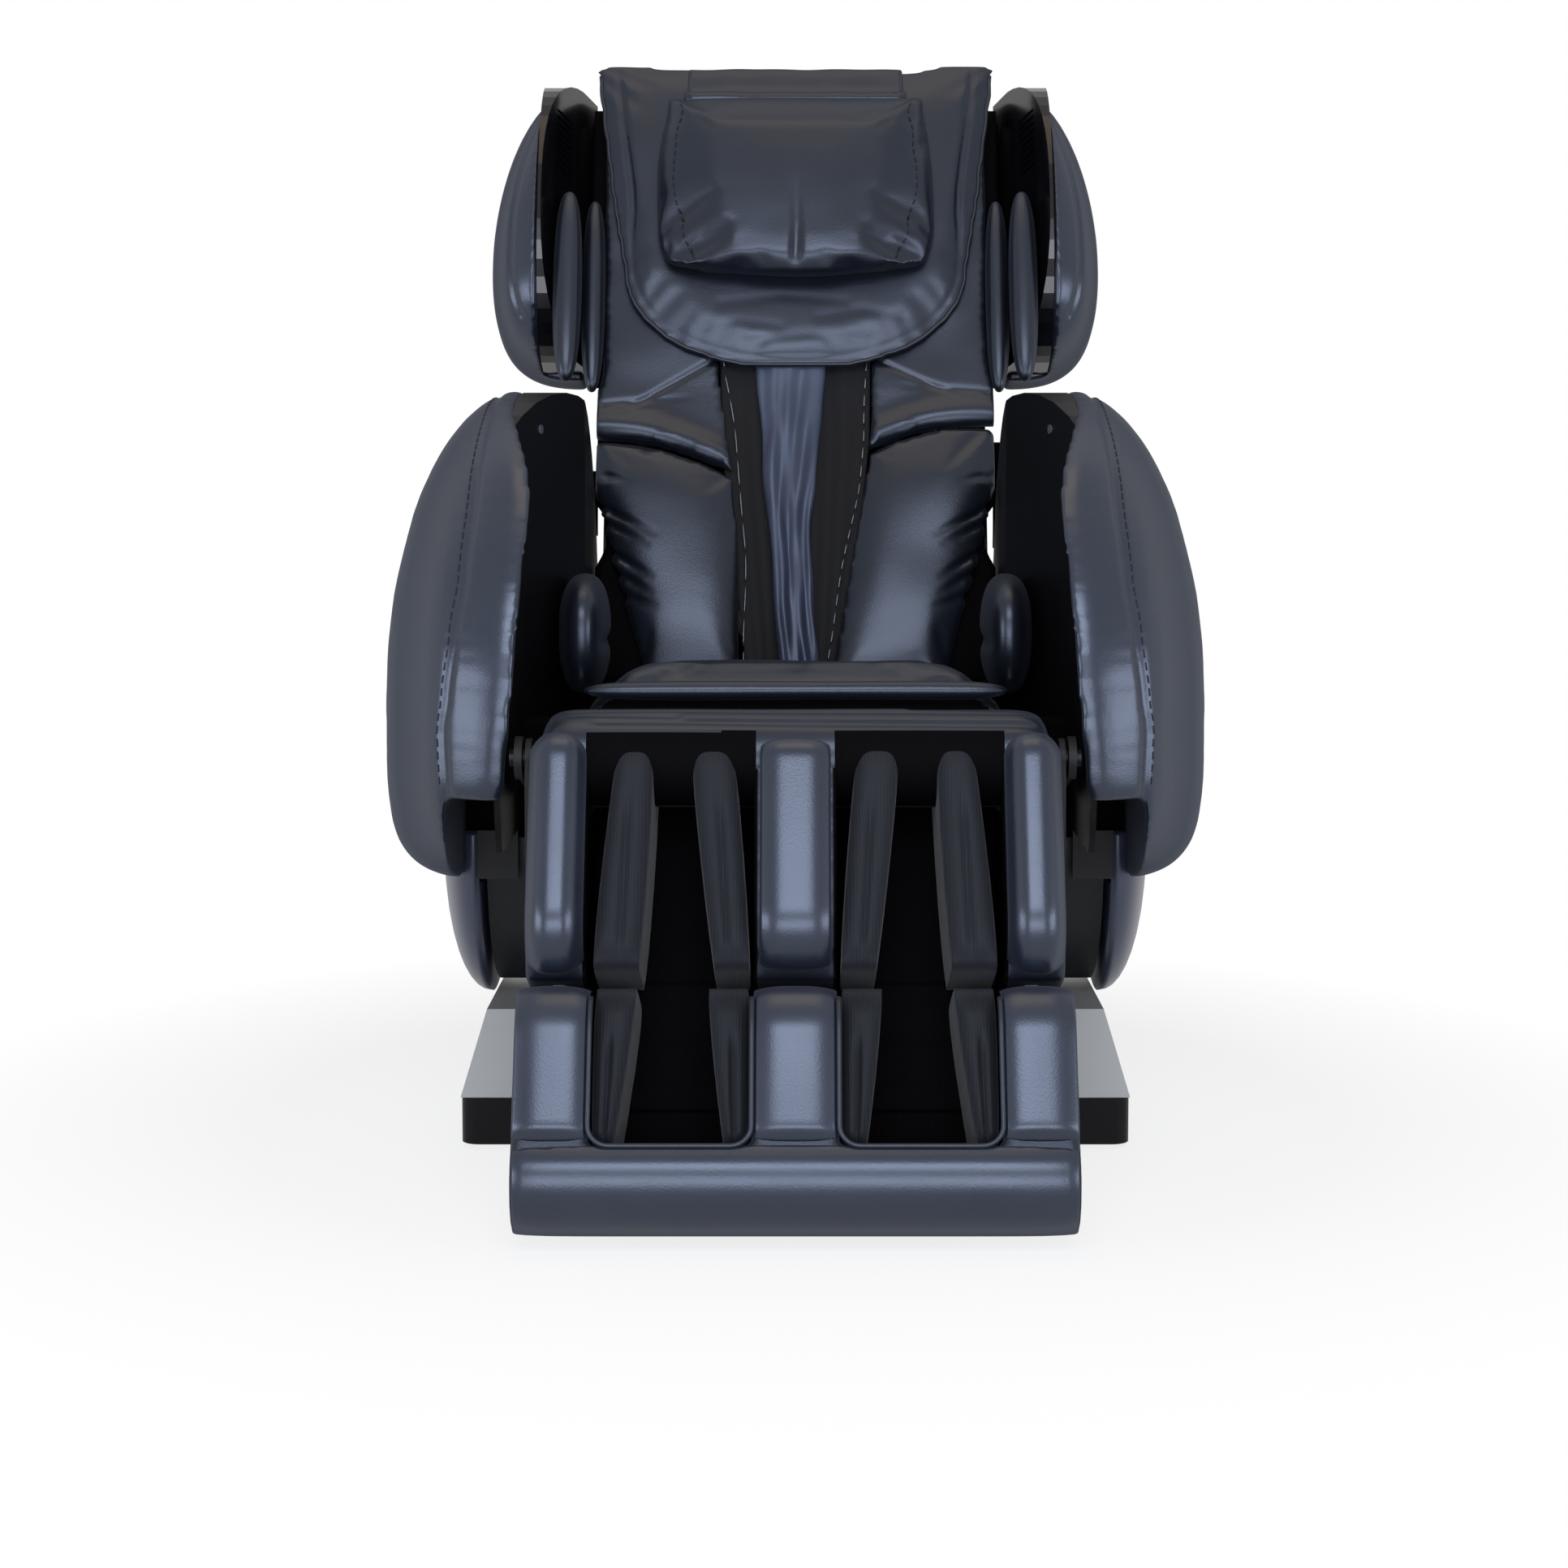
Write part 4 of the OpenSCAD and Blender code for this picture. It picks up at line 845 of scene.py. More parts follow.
seat_pad = even(pad("seat_pad", CHAIR, seat_point, (40, 36)), 6, 3)
stuffed(seat_pad, CHAIR, 9, lambda p: p.z < seat_low.z + 4)
finer(seat_pad)
roll_y = seat_low.y + SEAT_ROLL + 14
seat_seams = [([(-225, roll_y, 515), (225, roll_y, 515)], 9, 6, 6)]
seat_seams += [([(x, roll_y, 520), (x, 140, 515)], 7, 5, 3) for x in (-170, 170)]
pressed(seat_pad, CHAIR, seat_seams)
rumpled(seat_pad, 2.5, 60, 5, (2.2, 1, 1))
dressed(seat_pad, SOFT_LEATHER, "seat", ["seat_cushion"])
# Paint the seat's front below the roll near-black, as the shade under the roll
lined_and_shaded(seat_pad, CHAIR, lambda p: p.y < seat_low.y + SEAT_SETBACK + 10 and p.z < 506)

FRONT_ROLL_HALF = 220
FRONT_ROLL_R = 10
front_roll_middle = (seat_low.y + 12, 514.5)
front_roll = []
for k in range(61):
    share = mix(-1, 1, k / 60)
    radius = max(2, FRONT_ROLL_R * (1 - abs(share) ** 10) ** 0.5)
    front_roll.append((FRONT_ROLL_HALF * share, radius))
roll_rings = round_rings(front_roll_middle, front_roll, 345, 23)
seat_roll = rumpled(finer(lofted("seat_front_roll", roll_rings, CHAIR)), 1.2, 60, 6, (3, 1, 1))
dressed(seat_roll, SOFT_LEATHER, "seat", ())


def soft_lobe(name, middle, size, place, powers=(2.6, 2.6), lean=0.0):
    """Rounded upright pad: size across, deep and high, its foot shifted sideways by lean."""
    rings = []
    for k in range(25):
        turn = mix(-math.pi / 2 * 0.985, math.pi / 2 * 0.985, k / 24)
        height = bent(math.sin(turn), powers[1])
        share = abs(math.cos(turn)) ** (2 / powers[1])
        ring = []
        for a in range(32):
            t = 2 * math.pi * a / 32
            x = middle[0] + size[0] / 2 * share * bent(math.cos(t), powers[0]) - lean * height
            y = middle[1] + size[1] / 2 * share * bent(math.sin(t), powers[0])
            ring.append((x, y, middle[2] + size[2] / 2 * height))
        rings.append(ring)
    return lofted(name, rings, place)


hip_low, hip_high = box_in("hip_pads", CHAIR)
HIP_X = 237
HIP_WIDE = 58
hip_middle = (HIP_X, (hip_low.y + hip_high.y) / 2, (hip_low.z + hip_high.z) / 2)
hip_size = (HIP_WIDE, hip_high.y - hip_low.y, hip_high.z - hip_low.z + 4)
hip_left = finer(soft_lobe("hip_pad_left", hip_middle, hip_size, CHAIR, (2.3, 2.5)))
hip_face = HIP_X - HIP_WIDE / 2
pressed(hip_left, CHAIR, [([(hip_face, -60, 548), (hip_face, 90, 548)], 8, 5, 5)])
both_sides(hip_left, SOFT_LEATHER, "seat", "leather", ["hip_pads"], (), 0.9)

# ---------- back ----------

STRIP_TOP = box_in("track_cover", BACK)[1].z
lumbar_high = box_in("lumbar_cushion_left", BACK)[1]
OUTER_X = lumbar_high.x
LUMBAR_TOP = lumbar_high.z
PAD_REAR = 12
OVER_TRACK = 3.4
TRACK_EDGE = [(0, 57), (LUMBAR_TOP, 91), (STRIP_TOP, 99)]
# Inner edges of the left and right cushions, which lie a little askew over the track
EDGES = {
    1: [(0, 41), (39, 44), (171, 67), (246, 81), (313, 90), (STRIP_TOP, 99)],
    -1: [(0, 66), (171, 67), (246, 71), (313, 79), (400, 92), (STRIP_TOP, 99)],
}
OUTER_EDGE = [(0, 177), (39, 185), (114, 204), (171, 223), (246, OUTER_X - 1)]
OUTER_EDGE += [(STRIP_TOP, OUTER_X)]
# The cushions bulge here until they almost meet the arms
ARM_GAP_X = 240.5
BULGE = 13
# Pleats at the outer side of a lumbar cushion: height, reach inwards, drop, depth
PLEATS = [(262, 34, 8, 4), (225, 62, 38, 7), (205, 50, 30, 5)]
PLEATS += [(168, 48, 34, 7), (140, 38, 26, 5), (110, 34, 12, 4)]


def kept_between_arms(piece):
    """Flatten what swells beyond the gap between the arms."""
    co = points_of(piece.data)
    co[:, 0] = np.clip(co[:, 0], -ARM_GAP_X / 1000, ARM_GAP_X / 1000)
    set_points(piece.data, co)
    return piece


def pad_rear(x, s):
    """Depth of a cushion's rear face: in front of the fabric where it overlaps the track."""
    return mix(OVER_TRACK, PAD_REAR, smooth((x - straight(s, TRACK_EDGE)) / 10))


def lumbar(side, outer_top, inner_top):
    """Lumbar cushion: fullest high up, drawn in at its lower outer corner, pleated outside."""

    def point(u, v, front):
        top = mix(inner_top, outer_top, u**0.8) + 9 * math.sin(math.pi * u)
        s = mix(8, top, v)
        bulge = BULGE * math.exp(-(((s - outer_top + 40) / 38) ** 2))
        x = mix(straight(s, EDGES[side]) + 1, straight(s, OUTER_EDGE) + bulge, u)
        if not front:
            return (side * x, pad_rear(x, s), s)
        belly = hump(u, 2.4) * hump(min(1, v * 0.9 + 0.06), 3.2)
        return (side * x, -3 - 11 * belly - 3 * smooth(v * 3) * smooth((1 - v) * 5), s)

    name = "lumbar_pad_left" if side > 0 else "lumbar_pad_right"
    made = pad(name, BACK, point, (30, 44))
    if side < 0:
        made.data.flip_normals()
    made = even(made, 5, 3)
    stuffed(made, BACK, 10, lambda p: p.y > (0 if abs(p.x) < 95 else PAD_REAR - 4))
    finer(made)
    pleats = []
    for s, reach, drop, depth in PLEATS:
        edge = straight(s, OUTER_EDGE)
        fold = [(edge + 2, 6, s + 4), (edge - 12, -10, s - drop * 0.3)]
        fold.append((edge - reach, -16, s - drop))
        swell = [(edge + 2, 4, s - 8), (edge - reach * 0.6, -16, s - 10 - drop * 0.6)]
        pleats.append(([(side * x, y, z) for x, y, z in fold], 5, depth, 0.5))
        pleats.append(([(side * x, y, z) for x, y, z in swell], 6, -depth * 0.5, 0))
    pressed(made, BACK, pleats)
    rumpled(made, 2.2, 75, 11 + side, (1.4, 1, 1))
    return kept_between_arms(made)


lumbar_left = lumbar(1, LUMBAR_TOP + 14, LUMBAR_TOP - 18)
lumbar_right = lumbar(-1, LUMBAR_TOP - 4, LUMBAR_TOP - 50)
dressed(lumbar_left, SOFT_LEATHER, "back", ["lumbar_cushion_left"])
dressed(lumbar_right, SOFT_LEATHER, "back", ["lumbar_cushion_right"])


def shoulder(side, outer_low, inner_low):
    """Shoulder panel: its lower edge rolls over the lumbar cushion, a seam runs up across it."""
    top = STRIP_TOP - 4

    def point(u, v, front):
        low = mix(inner_low, outer_low, u**0.8) + 9 * math.sin(math.pi * u)
        s = mix(low, top, v)
        bulge = BULGE * (1 - smooth((s - low - 30) / 60))
        x = mix(straight(s, EDGES[side]) + 1, OUTER_X - 1 + bulge, u)
        if not front:
            return (side * x, pad_rear(x, s), s)
        return (side * x, -3 - hump(u, 4) - 9 * math.exp(-(((s - low - 16) / 17) ** 2)), s)

    name = "shoulder_pad_left" if side > 0 else "shoulder_pad_right"
    made = pad(name, BACK, point, (28, 60))
    if side < 0:
        made.data.flip_normals()
    made = finer(even(made, 5, 4))
    seam_line = [(side * (OUTER_X + 2), 0, outer_low + 16), (side * 95, 0, 415)]
    folds = [(walked(seam_line, 20), 4, 4.5, 4)]
    for inner, lift in ((150, 34), (120, 48)):
        fold = [(side * 232, 0, outer_low + lift - 6), (side * inner, 0, outer_low + lift + 4)]
        folds.append((fold, 5, 3.5, 0))
    pressed(made, BACK, folds)
    rumpled(made, 2.5, 60, 21 + side, (1.5, 1, 1))
    return kept_between_arms(made)


shoulder_left = shoulder(1, LUMBAR_TOP + 17, LUMBAR_TOP - 15)
shoulder_right = shoulder(-1, LUMBAR_TOP + 1, LUMBAR_TOP - 46)
dressed(shoulder_left, SOFT_LEATHER, "back", ["shoulder_panel_left"])
dressed(shoulder_right, SOFT_LEATHER, "back", ["shoulder_panel_right"])


def track_point(u, v, front):
    """Fabric over the roller slot, with slack folds along its length."""
    s = mix(8, STRIP_TOP, v)
    x = mix(-1, 1, u) * (straight(s, TRACK_EDGE) - 1)
    if not front:
        return (x, 8, s)
    return (x, 4.6 - 1.6 * math.sin(u * 31 + 2.2 * v) * hump(u, 6), s)


track_fabric = pad("track_fabric", BACK, track_point, (72, 60))
dressed(track_fabric, TRACK_FABRIC, "back", ["track_cover"])


def back_side_shade_point(u, v, front):
    """Black sheet of painted shade that covers the frame beside the narrow feet of the lumbar
    cushions.
    """
    s = mix(8, 322, v)
    outer = between(s, [(152, ARM_GAP_X), (176, 228), (212, 228), (236, ARM_GAP_X)])
    return (mix(150, outer, u), 15 if not front else 11.5 + 1.5 * math.sin(9 * v + 5 * u), s)


def back_edge_shade_point(u, v, front):
    """Black sheet of painted shade between the edge of the back and a shoulder pod."""
    s = mix(POD_LOW, POD_HIGH, v)
    return (mix(205, 253, u), 30 if not front else 26 + 1.5 * math.sin(14 * v), s)


pod_low, pod_high = box_in("shoulder_pod_left", BACK)
POD_LOW = pod_low.z - 22
POD_HIGH = pod_high.z - 30
for name, point in (("back_side_shade_sheet", back_side_shade_point), ("back_edge_shade_sheet", back_edge_shade_point)):
    both_sides(pad(name + "_left", BACK, point, (8, 24)), LINING_AND_SHADE, "back", "knit")

STRIP_WIDE = [(8, 24), (170, 24), (300, 34), (400, 42), (STRIP_TOP, 44)]
STRIP_SHIFT = [(8, 6), (120, -2), (220, -7), (400, -5), (STRIP_TOP, -4)]


def strip_point(u, v, front):
    """Leather strip down the middle of the track, slack and creased along its length."""
    s = mix(10, STRIP_TOP - 2, v)
    x = between(s, STRIP_SHIFT) + mix(-1, 1, u) * between(s, STRIP_WIDE)
    if not front:
        return (x, 3, s)
    crease = 2.4 * math.sin(u * 11 + 3 * math.sin(v * 9)) + 1.2 * math.sin(u * 23 - 7 * v)
    return (x, -4 - (4 + crease) * hump(u, 6), s)


strip = finer(pad("track_strip", BACK, strip_point, (22, 90)))
rumpled(strip, 3.0, 22, 31, (1, 1, 5))
dressed(strip, STRIP_LEATHER, "back", ())


def zip_line(side, stitch):
    """Zip that closes the cover beside the roller track."""
    line = []
    for k in range(80):
        s = mix(12, 440, k / 79)
        x = straight(s, EDGES[side]) - 6 + 1.5 * math.sin(s / 31)
        line.append((side * x, 1.5, s))
    return stitching("zip_left" if side > 0 else "zip_right", line, BACK, stitch, 7, 1.0)


dressed(zip_line(1, 14), ZIP_TEETH, "back")
dressed(zip_line(-1, 30), ZIP_TEETH, "back")

# ---------- head flap and pillow ----------

flap_low, flap_high = box_in("head_flap", BACK)
FLAP_FACE = -10
FLAP_SKIN = -22
FLAP_LOW = flap_low.z + 2
FLAP_SHOULDER = 540
FLAP_TOP = flap_high.z - 7
FLAP_HALF = 215
FLAP_TOP_HALF = 251
FLAP_SIDE = [(FLAP_SHOULDER, FLAP_HALF), (620, 229), (720, 242), (FLAP_TOP, FLAP_TOP_HALF)]
# Slack folds below the pillow: height, start, end, depth
FLAP_FOLDS = [(430, -60, 90, 0.5), (448, -120, -20, 0.4), (462, 30, 130, 0.5), (480, -90, 60, 0.4)]


def flap_edge(x, inset=0.0):
    """Height of the flap's U-shaped lower edge at x, or of a line inset from it."""
    share = min(1.0, abs(x) / (FLAP_HALF - inset))
    return mix(FLAP_LOW + inset, FLAP_SHOULDER, 1 - (1 - share**2.2) ** (1 / 2.2))


def flap_half(s, inset=0.0):
    """Half width of the flap above its shoulder."""
    return straight(s, FLAP_SIDE) - inset


def flap_point(u, v, front):
    """Flap over the back: u runs round its lower edge, v from that edge up to the top."""
    across = math.sin(mix(-math.pi / 2, math.pi / 2, u))
    side = abs(across)
    top = FLAP_TOP + 8 * smooth((side - 0.6) / 0.2) * (1 - smooth((side - 0.93) / 0.07))
    s = mix(flap_edge(across * FLAP_HALF, 0), top - 2 * math.sin(13 * u), v)
    x = across * flap_half(s)
    if not front:
        return (x, FLAP_FACE, s)
    return (x, FLAP_FACE - 5 - 5 * hump(u, 6) * hump(v, 5), s)


flap = even(pad("head_flap_pad", BACK, flap_point, (64, 40)), 5, 6)
stuffed(flap, BACK, 3.5, lambda p: p.y > FLAP_FACE - 1.5, 12)
finer(flap)


def flap_line(inset, low_inset, top):
    """Line that runs inside the flap's edge, down one side and up the other."""
    heights = np.linspace(top, FLAP_SHOULDER + 6, 10)
    insets = [mix(low_inset, inset, smooth((s - FLAP_SHOULDER) / 90)) for s in heights]
    side = [(flap_half(s, space), s) for s, space in zip(heights, insets)]
    turns = [-(FLAP_HALF - low_inset) * math.cos(math.pi * k / 40) for k in range(1, 40)]
    line = [(-x, s) for x, s in side] + [(x, flap_edge(x, low_inset)) for x in turns]
    return [(x, FLAP_SKIN, s) for x, s in line + list(reversed(side))]


flap_seams = [(walked(flap_line(29, 15, FLAP_TOP + 4), 25), 4, 3.4, 3.4)]
for s, x0, x1, dip in FLAP_FOLDS:
    fold = [(x0, -20, s), (mix(x0, x1, 0.5), FLAP_SKIN, s + 9), (x1, -20, s + 2)]
    flap_seams.append((fold, 8, dip, dip))
pressed(flap, BACK, flap_seams)
rumpled(flap, 1.4, 80, 41)
dressed(flap, SOFT_LEATHER, "back", ["head_flap"])
edge_line = on_skin(flap, walked(flap_line(0, 0, FLAP_TOP - 12), 8), BACK)
flap_piping = tube("head_flap_piping", edge_line, 2.6, BACK)
dressed(flap_piping, PIPING, "back")

pillow_low, pillow_high = box_in("pillow", BACK)
PILLOW_REAR = -31
PILLOW_TOP = pillow_high.z - 8
PILLOW_LOW = pillow_low.z - 2
PILLOW_HALF = pillow_high.x - 3


def pillow_half(s, depth):
    """Half width of the pillow at a height, from its rear (0) to its front panel (1)."""
    share = (s - PILLOW_LOW) / (PILLOW_TOP - PILLOW_LOW)
    rear = PILLOW_HALF - 12 * smooth((share - 0.6) / 0.4) - 18 * smooth((0.25 - share) / 0.25)
    front = between(share, [(0, 118), (0.22, 140), (0.5, 153), (0.72, 150), (1, 138)])
    return mix(rear, front, depth)


def pillow():
    """Head pillow: a front panel that sags at its foot, and deep side gussets."""
    # Share from the rear to the front panel, how far out, tuck of the sides, share of its size
    stages = [
        (0, 0.0, 0, 1), (0.0, 0.35, 4, 1), (0.55, 0.8, 3, 1), (1.0, 1.0, 0, 0.98),
        (1.0, 1.12, 0, 0.84), (1.0, 1.21, 0, 0.6), (1.0, 1.25, 0, 0.3),
    ]
    middle = (PILLOW_LOW + PILLOW_TOP) / 2
    rings = []
    for depth, out, tuck, size in stages:
        n = mix(PILLOW_REAR, PILLOW_REAR - 36, out)
        low = PILLOW_LOW + 20 * (1 - depth)
        high = PILLOW_TOP - 22 * depth
        ring = []
        corners = [(a, low) for a in np.linspace(-1, 1, 25)]
        corners += [(1, s) for s in np.linspace(low, high, 17)[1:]]
        corners += [(a, high) for a in np.linspace(1, -1, 25)[1:]]
        corners += [(-1, s) for s in np.linspace(high, low, 17)[1:-1]]
        for a, s in corners:
            sag = 12 * (1 - a * a) if s < low + 1 else 0
            x = a * (pillow_half(s, depth) + tuck)
            ring.append((x * size, n, mix(middle, s - sag, size)))
        rings.append(ring)
    made = even(lofted("pillow_pad", rings, BACK), 5, 2)
    stuffed(made, BACK, 9, lambda p: p.y > PILLOW_REAR - 1.5, 8)
    return finer(made)


pillow_pad = pillow()
PANEL_N = PILLOW_REAR - 52


def pillow_seam(side):
    """Seam between the front panel and one gusset."""
    heights = np.linspace(PILLOW_TOP - 10, PILLOW_LOW + 12, 24)
    return [(side * pillow_half(s, 1.0), PANEL_N, s) for s in heights]


crease = [(0, PANEL_N, 4), (2, PANEL_N - 6, 60), (0, PANEL_N - 6, 125)]
pillow_folds = [([(x, n, PILLOW_LOW + s) for x, n, s in crease], 7, 6, 0)]
corner = pillow_half(PILLOW_LOW + 20, 1.0)
gusset_n = PILLOW_REAR - 14
for side in (-1, 1):
    pillow_folds.append((pillow_seam(side), 4, 4, 4))
    tuck = [(side * (corner + 24), PANEL_N + 16, PILLOW_LOW + 4)]
    tuck += [(side * (corner - 22), PANEL_N, PILLOW_LOW + 26)]
    pillow_folds.append((tuck, 7, 3, 0.5))
    gusset = [(side * 172, gusset_n, PILLOW_TOP - 20), (side * 172, gusset_n, PILLOW_LOW + 20)]
    pillow_folds.append((gusset, 5, 3, 3))
pressed(pillow_pad, BACK, pillow_folds)
rumpled(pillow_pad, 1.8, 80, 51, (1, 1, 1.3))
dressed(pillow_pad, SOFT_LEATHER, "pillow", ["pillow"])

HEM_HALF = 138
HEM_R = 9.5
rod_low, rod_high = box_in("pillow_rod", BACK)
hem_middle = ((rod_low.y + rod_high.y) / 2, rod_high.z - 7)
hem = round_rings(hem_middle, [(x, HEM_R) for x in np.linspace(-HEM_HALF, HEM_HALF, 24)], 345, 23)
pillow_hem = rumpled(lofted("pillow_hem", hem, BACK), 1.5, 30, 55)
dressed(pillow_hem, SOFT_LEATHER, "pillow")


def strap_point(u, v, front):
    """Wide strap that the pillow's rod hangs in, sewn over the top of the flap."""
    s = mix(hem_middle[1] + 4, FLAP_TOP - 4, v)
    n = mix(-31, -20, smooth(v))
    return (mix(-134, 134, u), n - 1.5 * hump(u, 4) if front else n + 8, s)


strap = rumpled(finer(pad("pillow_strap", BACK, strap_point, (40, 10))), 1.5, 45, 57)
dressed(strap, SOFT_LEATHER, "back")
for side, name in ((1, "left"), (-1, "right")):
    beside_seam = [(x + side * 6, y, z) for x, y, z in pillow_seam(side)]
    line = on_skin(pillow_pad, beside_seam, BACK, 0.3)
    gusset_thread = stitching("pillow_stitching_" + name, line, BACK, 6, 5, 1.0)
    dressed(gusset_thread, THREAD, "pillow")

# ---------- shoulder pods ----------

POD_ROOT_X = 262
POD_WIDE_S = 535
POD_MID_N = 50
POD_DEEP = 138
POD_SEAM = [(350, -70, 780), (364, -86, 640), (366, -86, 520), (352, -70, 430)]


def pod():
    """Outer shell of a shoulder pod: a rounded shield, hollow towards the sitter."""
    rings = []
    for k in range(16):
        out = min(math.sin(mix(0.02, math.pi / 2, k / 15)), 0.999)
        x = mix(POD_ROOT_X - 20, pod_high.x, out)
        share = max(0, (x - POD_ROOT_X) / (pod_high.x - POD_ROOT_X))
        rise = math.sqrt(1 - min(share, 0.999) ** 2)
        drop = (1 - min(share, 0.999) ** 3) ** (1 / 3)
        ring = []
        for a in range(72):
            t = 2 * math.pi * a / 72
            c, s = bent(math.cos(t), 2.5), bent(math.sin(t), 2.4)
            reach = (pod_high.z - POD_WIDE_S) * rise if s > 0 else (POD_WIDE_S - pod_low.z) * drop
            ring.append((x, POD_MID_N + POD_DEEP * math.sqrt(rise) * c, POD_WIDE_S + reach * s))
        rings.append(ring)
    shell = lofted("shoulder_pod_cover_left", rings, BACK)
    front = block("front", (0, -400, 300), (pod_low.x + 50, 60, 900), BACK)
    rear = block("rear", (0, 50, 300), (pod_low.x, 400, 900), BACK)
    return finer(even(cut(shell, [front, rear]), 5, 5))


pod_left = pod()
pressed(pod_left, BACK, [(on_skin(pod_left, walked(POD_SEAM, 20), BACK), 4, 2.0, 2.0)])
pod_nodes = (["shoulder_pod_left"], ["shoulder_pod_right"])
both_sides(pod_left, SATIN_LEATHER, "back", "leather", *pod_nodes)

for number, middle, size, nodes in (
    (1, (247, -14, 492), (29, 34, 250), ["shoulder_airbags"]),
    (2, (276, -51, 490), (35, 36, 246), ()),
):
    lobe = soft_lobe(f"shoulder_airbag_left_{number}", middle, size, BACK, (2.3, 2.6))
    both_sides(finer(lobe), SOFT_LEATHER, "back", "leather", nodes, (), 0.9)

# ---------- leg rest ----------

calf_low, calf_high = box_in("calf_shell", LEG)
LEG_HALF = calf_high.x
LEG_FACE = calf_low.y
CALF_END = calf_low.z
WELL_IN = 41
WELL_OUT = 203
WELL_WALL = WELL_OUT + 4
WELL_REAR = 80
KNEE_R = 46
KNEE_SHADE_TOP = 13
BOLSTER_R = KNEE_R + 4
# Slack folds along the knee bolster: from x, to x, turn in degrees, depth
KNEE_FOLDS = [(-250, 240, 118, 4.5), (-262, -120, 132, 3), (120, 262, 106, 3), (-200, 250, 148, 3)]


def extruded(name, outline, half, place):
    """Prism across the chair over a closed outline of (depth, height) points."""
    return lofted(name, [[(x, n, s) for n, s in outline] for x in (-half, half)], place)


def facing(name, path, x0, x1, crown, power, edge, place, sink=0.0):
    """Padded facing sewn over a front: it follows a path of (depth, height) points downwards.

    It stands crown proud in its middle and lies sink below the path at its sides.
    """
    line = [Vector(p) for p in walked([(n, s, 0) for n, s in path], 6)]
    count = 20
    rings = []
    for k, here in enumerate(line):
        along = (line[min(k + 1, len(line) - 1)] - line[max(k - 1, 0)]).normalized()
        out = Vector((along.y, -along.x, 0))
        end = smooth(min(k, len(line) - 1 - k) / 2.5)
        ring = []
        for j in range(count + 1):
            u = j / count
            lift = (crown + sink) * hump(u, power) * (0.5 + 0.5 * end) - sink
            inset = edge * (1 - end) * 0.5
            spot = here + out * (lift - inset)
            ring.append((mix(x0, x1, u), spot.x, spot.y))
        for j in range(count, -1, -1):
            spot = here - out * edge
            ring.append((mix(x0 + 1, x1 - 1, j / count), spot.x, spot.y))
        rings.append(ring)
    return lofted(name, rings, place)


calf_outline = [
    (-46, 4), (LEG_FACE + 18, -8), (LEG_FACE + 19, CALF_END + 62), (LEG_FACE + 52, CALF_END + 2),
    (calf_high.y, CALF_END + 1), (calf_high.y, -32), (60, -22), (20, -12),
]
calf_housing = extruded("calf_housing", calf_outline, LEG_HALF, LEG)
calf_cutters = [
    block("well_left", (WELL_IN, -90, -300), (WELL_WALL, WELL_REAR, 40), LEG),
    block("well_right", (-WELL_WALL, -90, -300), (-WELL_IN, WELL_REAR, 40), LEG),
    lofted("knee", round_rings((0, 0), [(-300, KNEE_R - 3), (300, KNEE_R - 3)], 352, 44), LEG),
]
cut(calf_housing, calf_cutters)
calf_housing = even(calf_housing, 4, 4)
dressed(calf_housing, SOFT_LEATHER, "leg_rest", ["calf_shell"])


def in_wells(p, inner, outer, rear):
    """Whether a place lies in one of the two wells for the legs, or on their walls."""
    return inner - 3 < abs(p.x) < outer + 3 and p.y < rear + 3


def in_calf_wells(p):
    """Whether a place of the calf housing gets the near-black lining, which also paints the wells'
    shade: not its front, which stays leather.
    """
    return in_wells(p, WELL_IN, WELL_WALL, WELL_REAR) and p.y > LEG_FACE + 12


lined_and_shaded(calf_housing, LEG, in_calf_wells)

CALF_CURL = 62
CHEEK_EDGE = 22
calf_front = arc((LEG_FACE + 24, -18), 24, 96, 180, 8)
calf_front += arc((LEG_FACE + CALF_CURL, CALF_END + CALF_CURL + 2), CALF_CURL, 180, 256, 12)
for name, x0, x1, crown, power, sink in (
    ("calf_cheek_middle", -36, 36, 4, 3.2, 5),
    ("calf_cheek_left", WELL_WALL + 1, LEG_HALF - 1, 10, 2.9, 11),
    ("calf_cheek_right", -LEG_HALF + 1, -WELL_WALL - 1, 10, 2.9, 11),
):
    cheek = finer(facing(name, calf_front, x0, x1, crown, power, CHEEK_EDGE, LEG, sink))
    dressed(cheek, SATIN_LEATHER, "leg_rest", ())

bolster = []
for k in range(61):
    u = k / 60
    radius = BOLSTER_R * (1 - (abs(2 * u - 1)) ** 26) ** 0.5
    bolster.append((mix(-LEG_HALF + 5, LEG_HALF - 5, u), max(radius, 8)))
knee = finer(lofted("knee_bolster", round_rings((0, 0), bolster, 353, 53), LEG))
bolster_folds = []
for x0, x1, turn, depth in KNEE_FOLDS:
    t = math.radians(turn)
    ends = ((x0, t), (x1, t + 0.1))
    fold = [(x, BOLSTER_R * math.cos(a), BOLSTER_R * math.sin(a)) for x, a in ends]
    bolster_folds.append((walked(fold, 40), 5, depth, depth))
pressed(knee, LEG, bolster_folds)
rumpled(knee, 1.2, 50, 61, (3, 1, 1))
dressed(knee, SOFT_LEATHER, "leg_rest", ["knee_roll"])
# The bolster's underside over the wells is painted near-black, as the shade of the wells
lined_and_shaded(knee, LEG, lambda p: in_wells(p, WELL_IN, WELL_WALL, 0) and p.z < KNEE_SHADE_TOP)


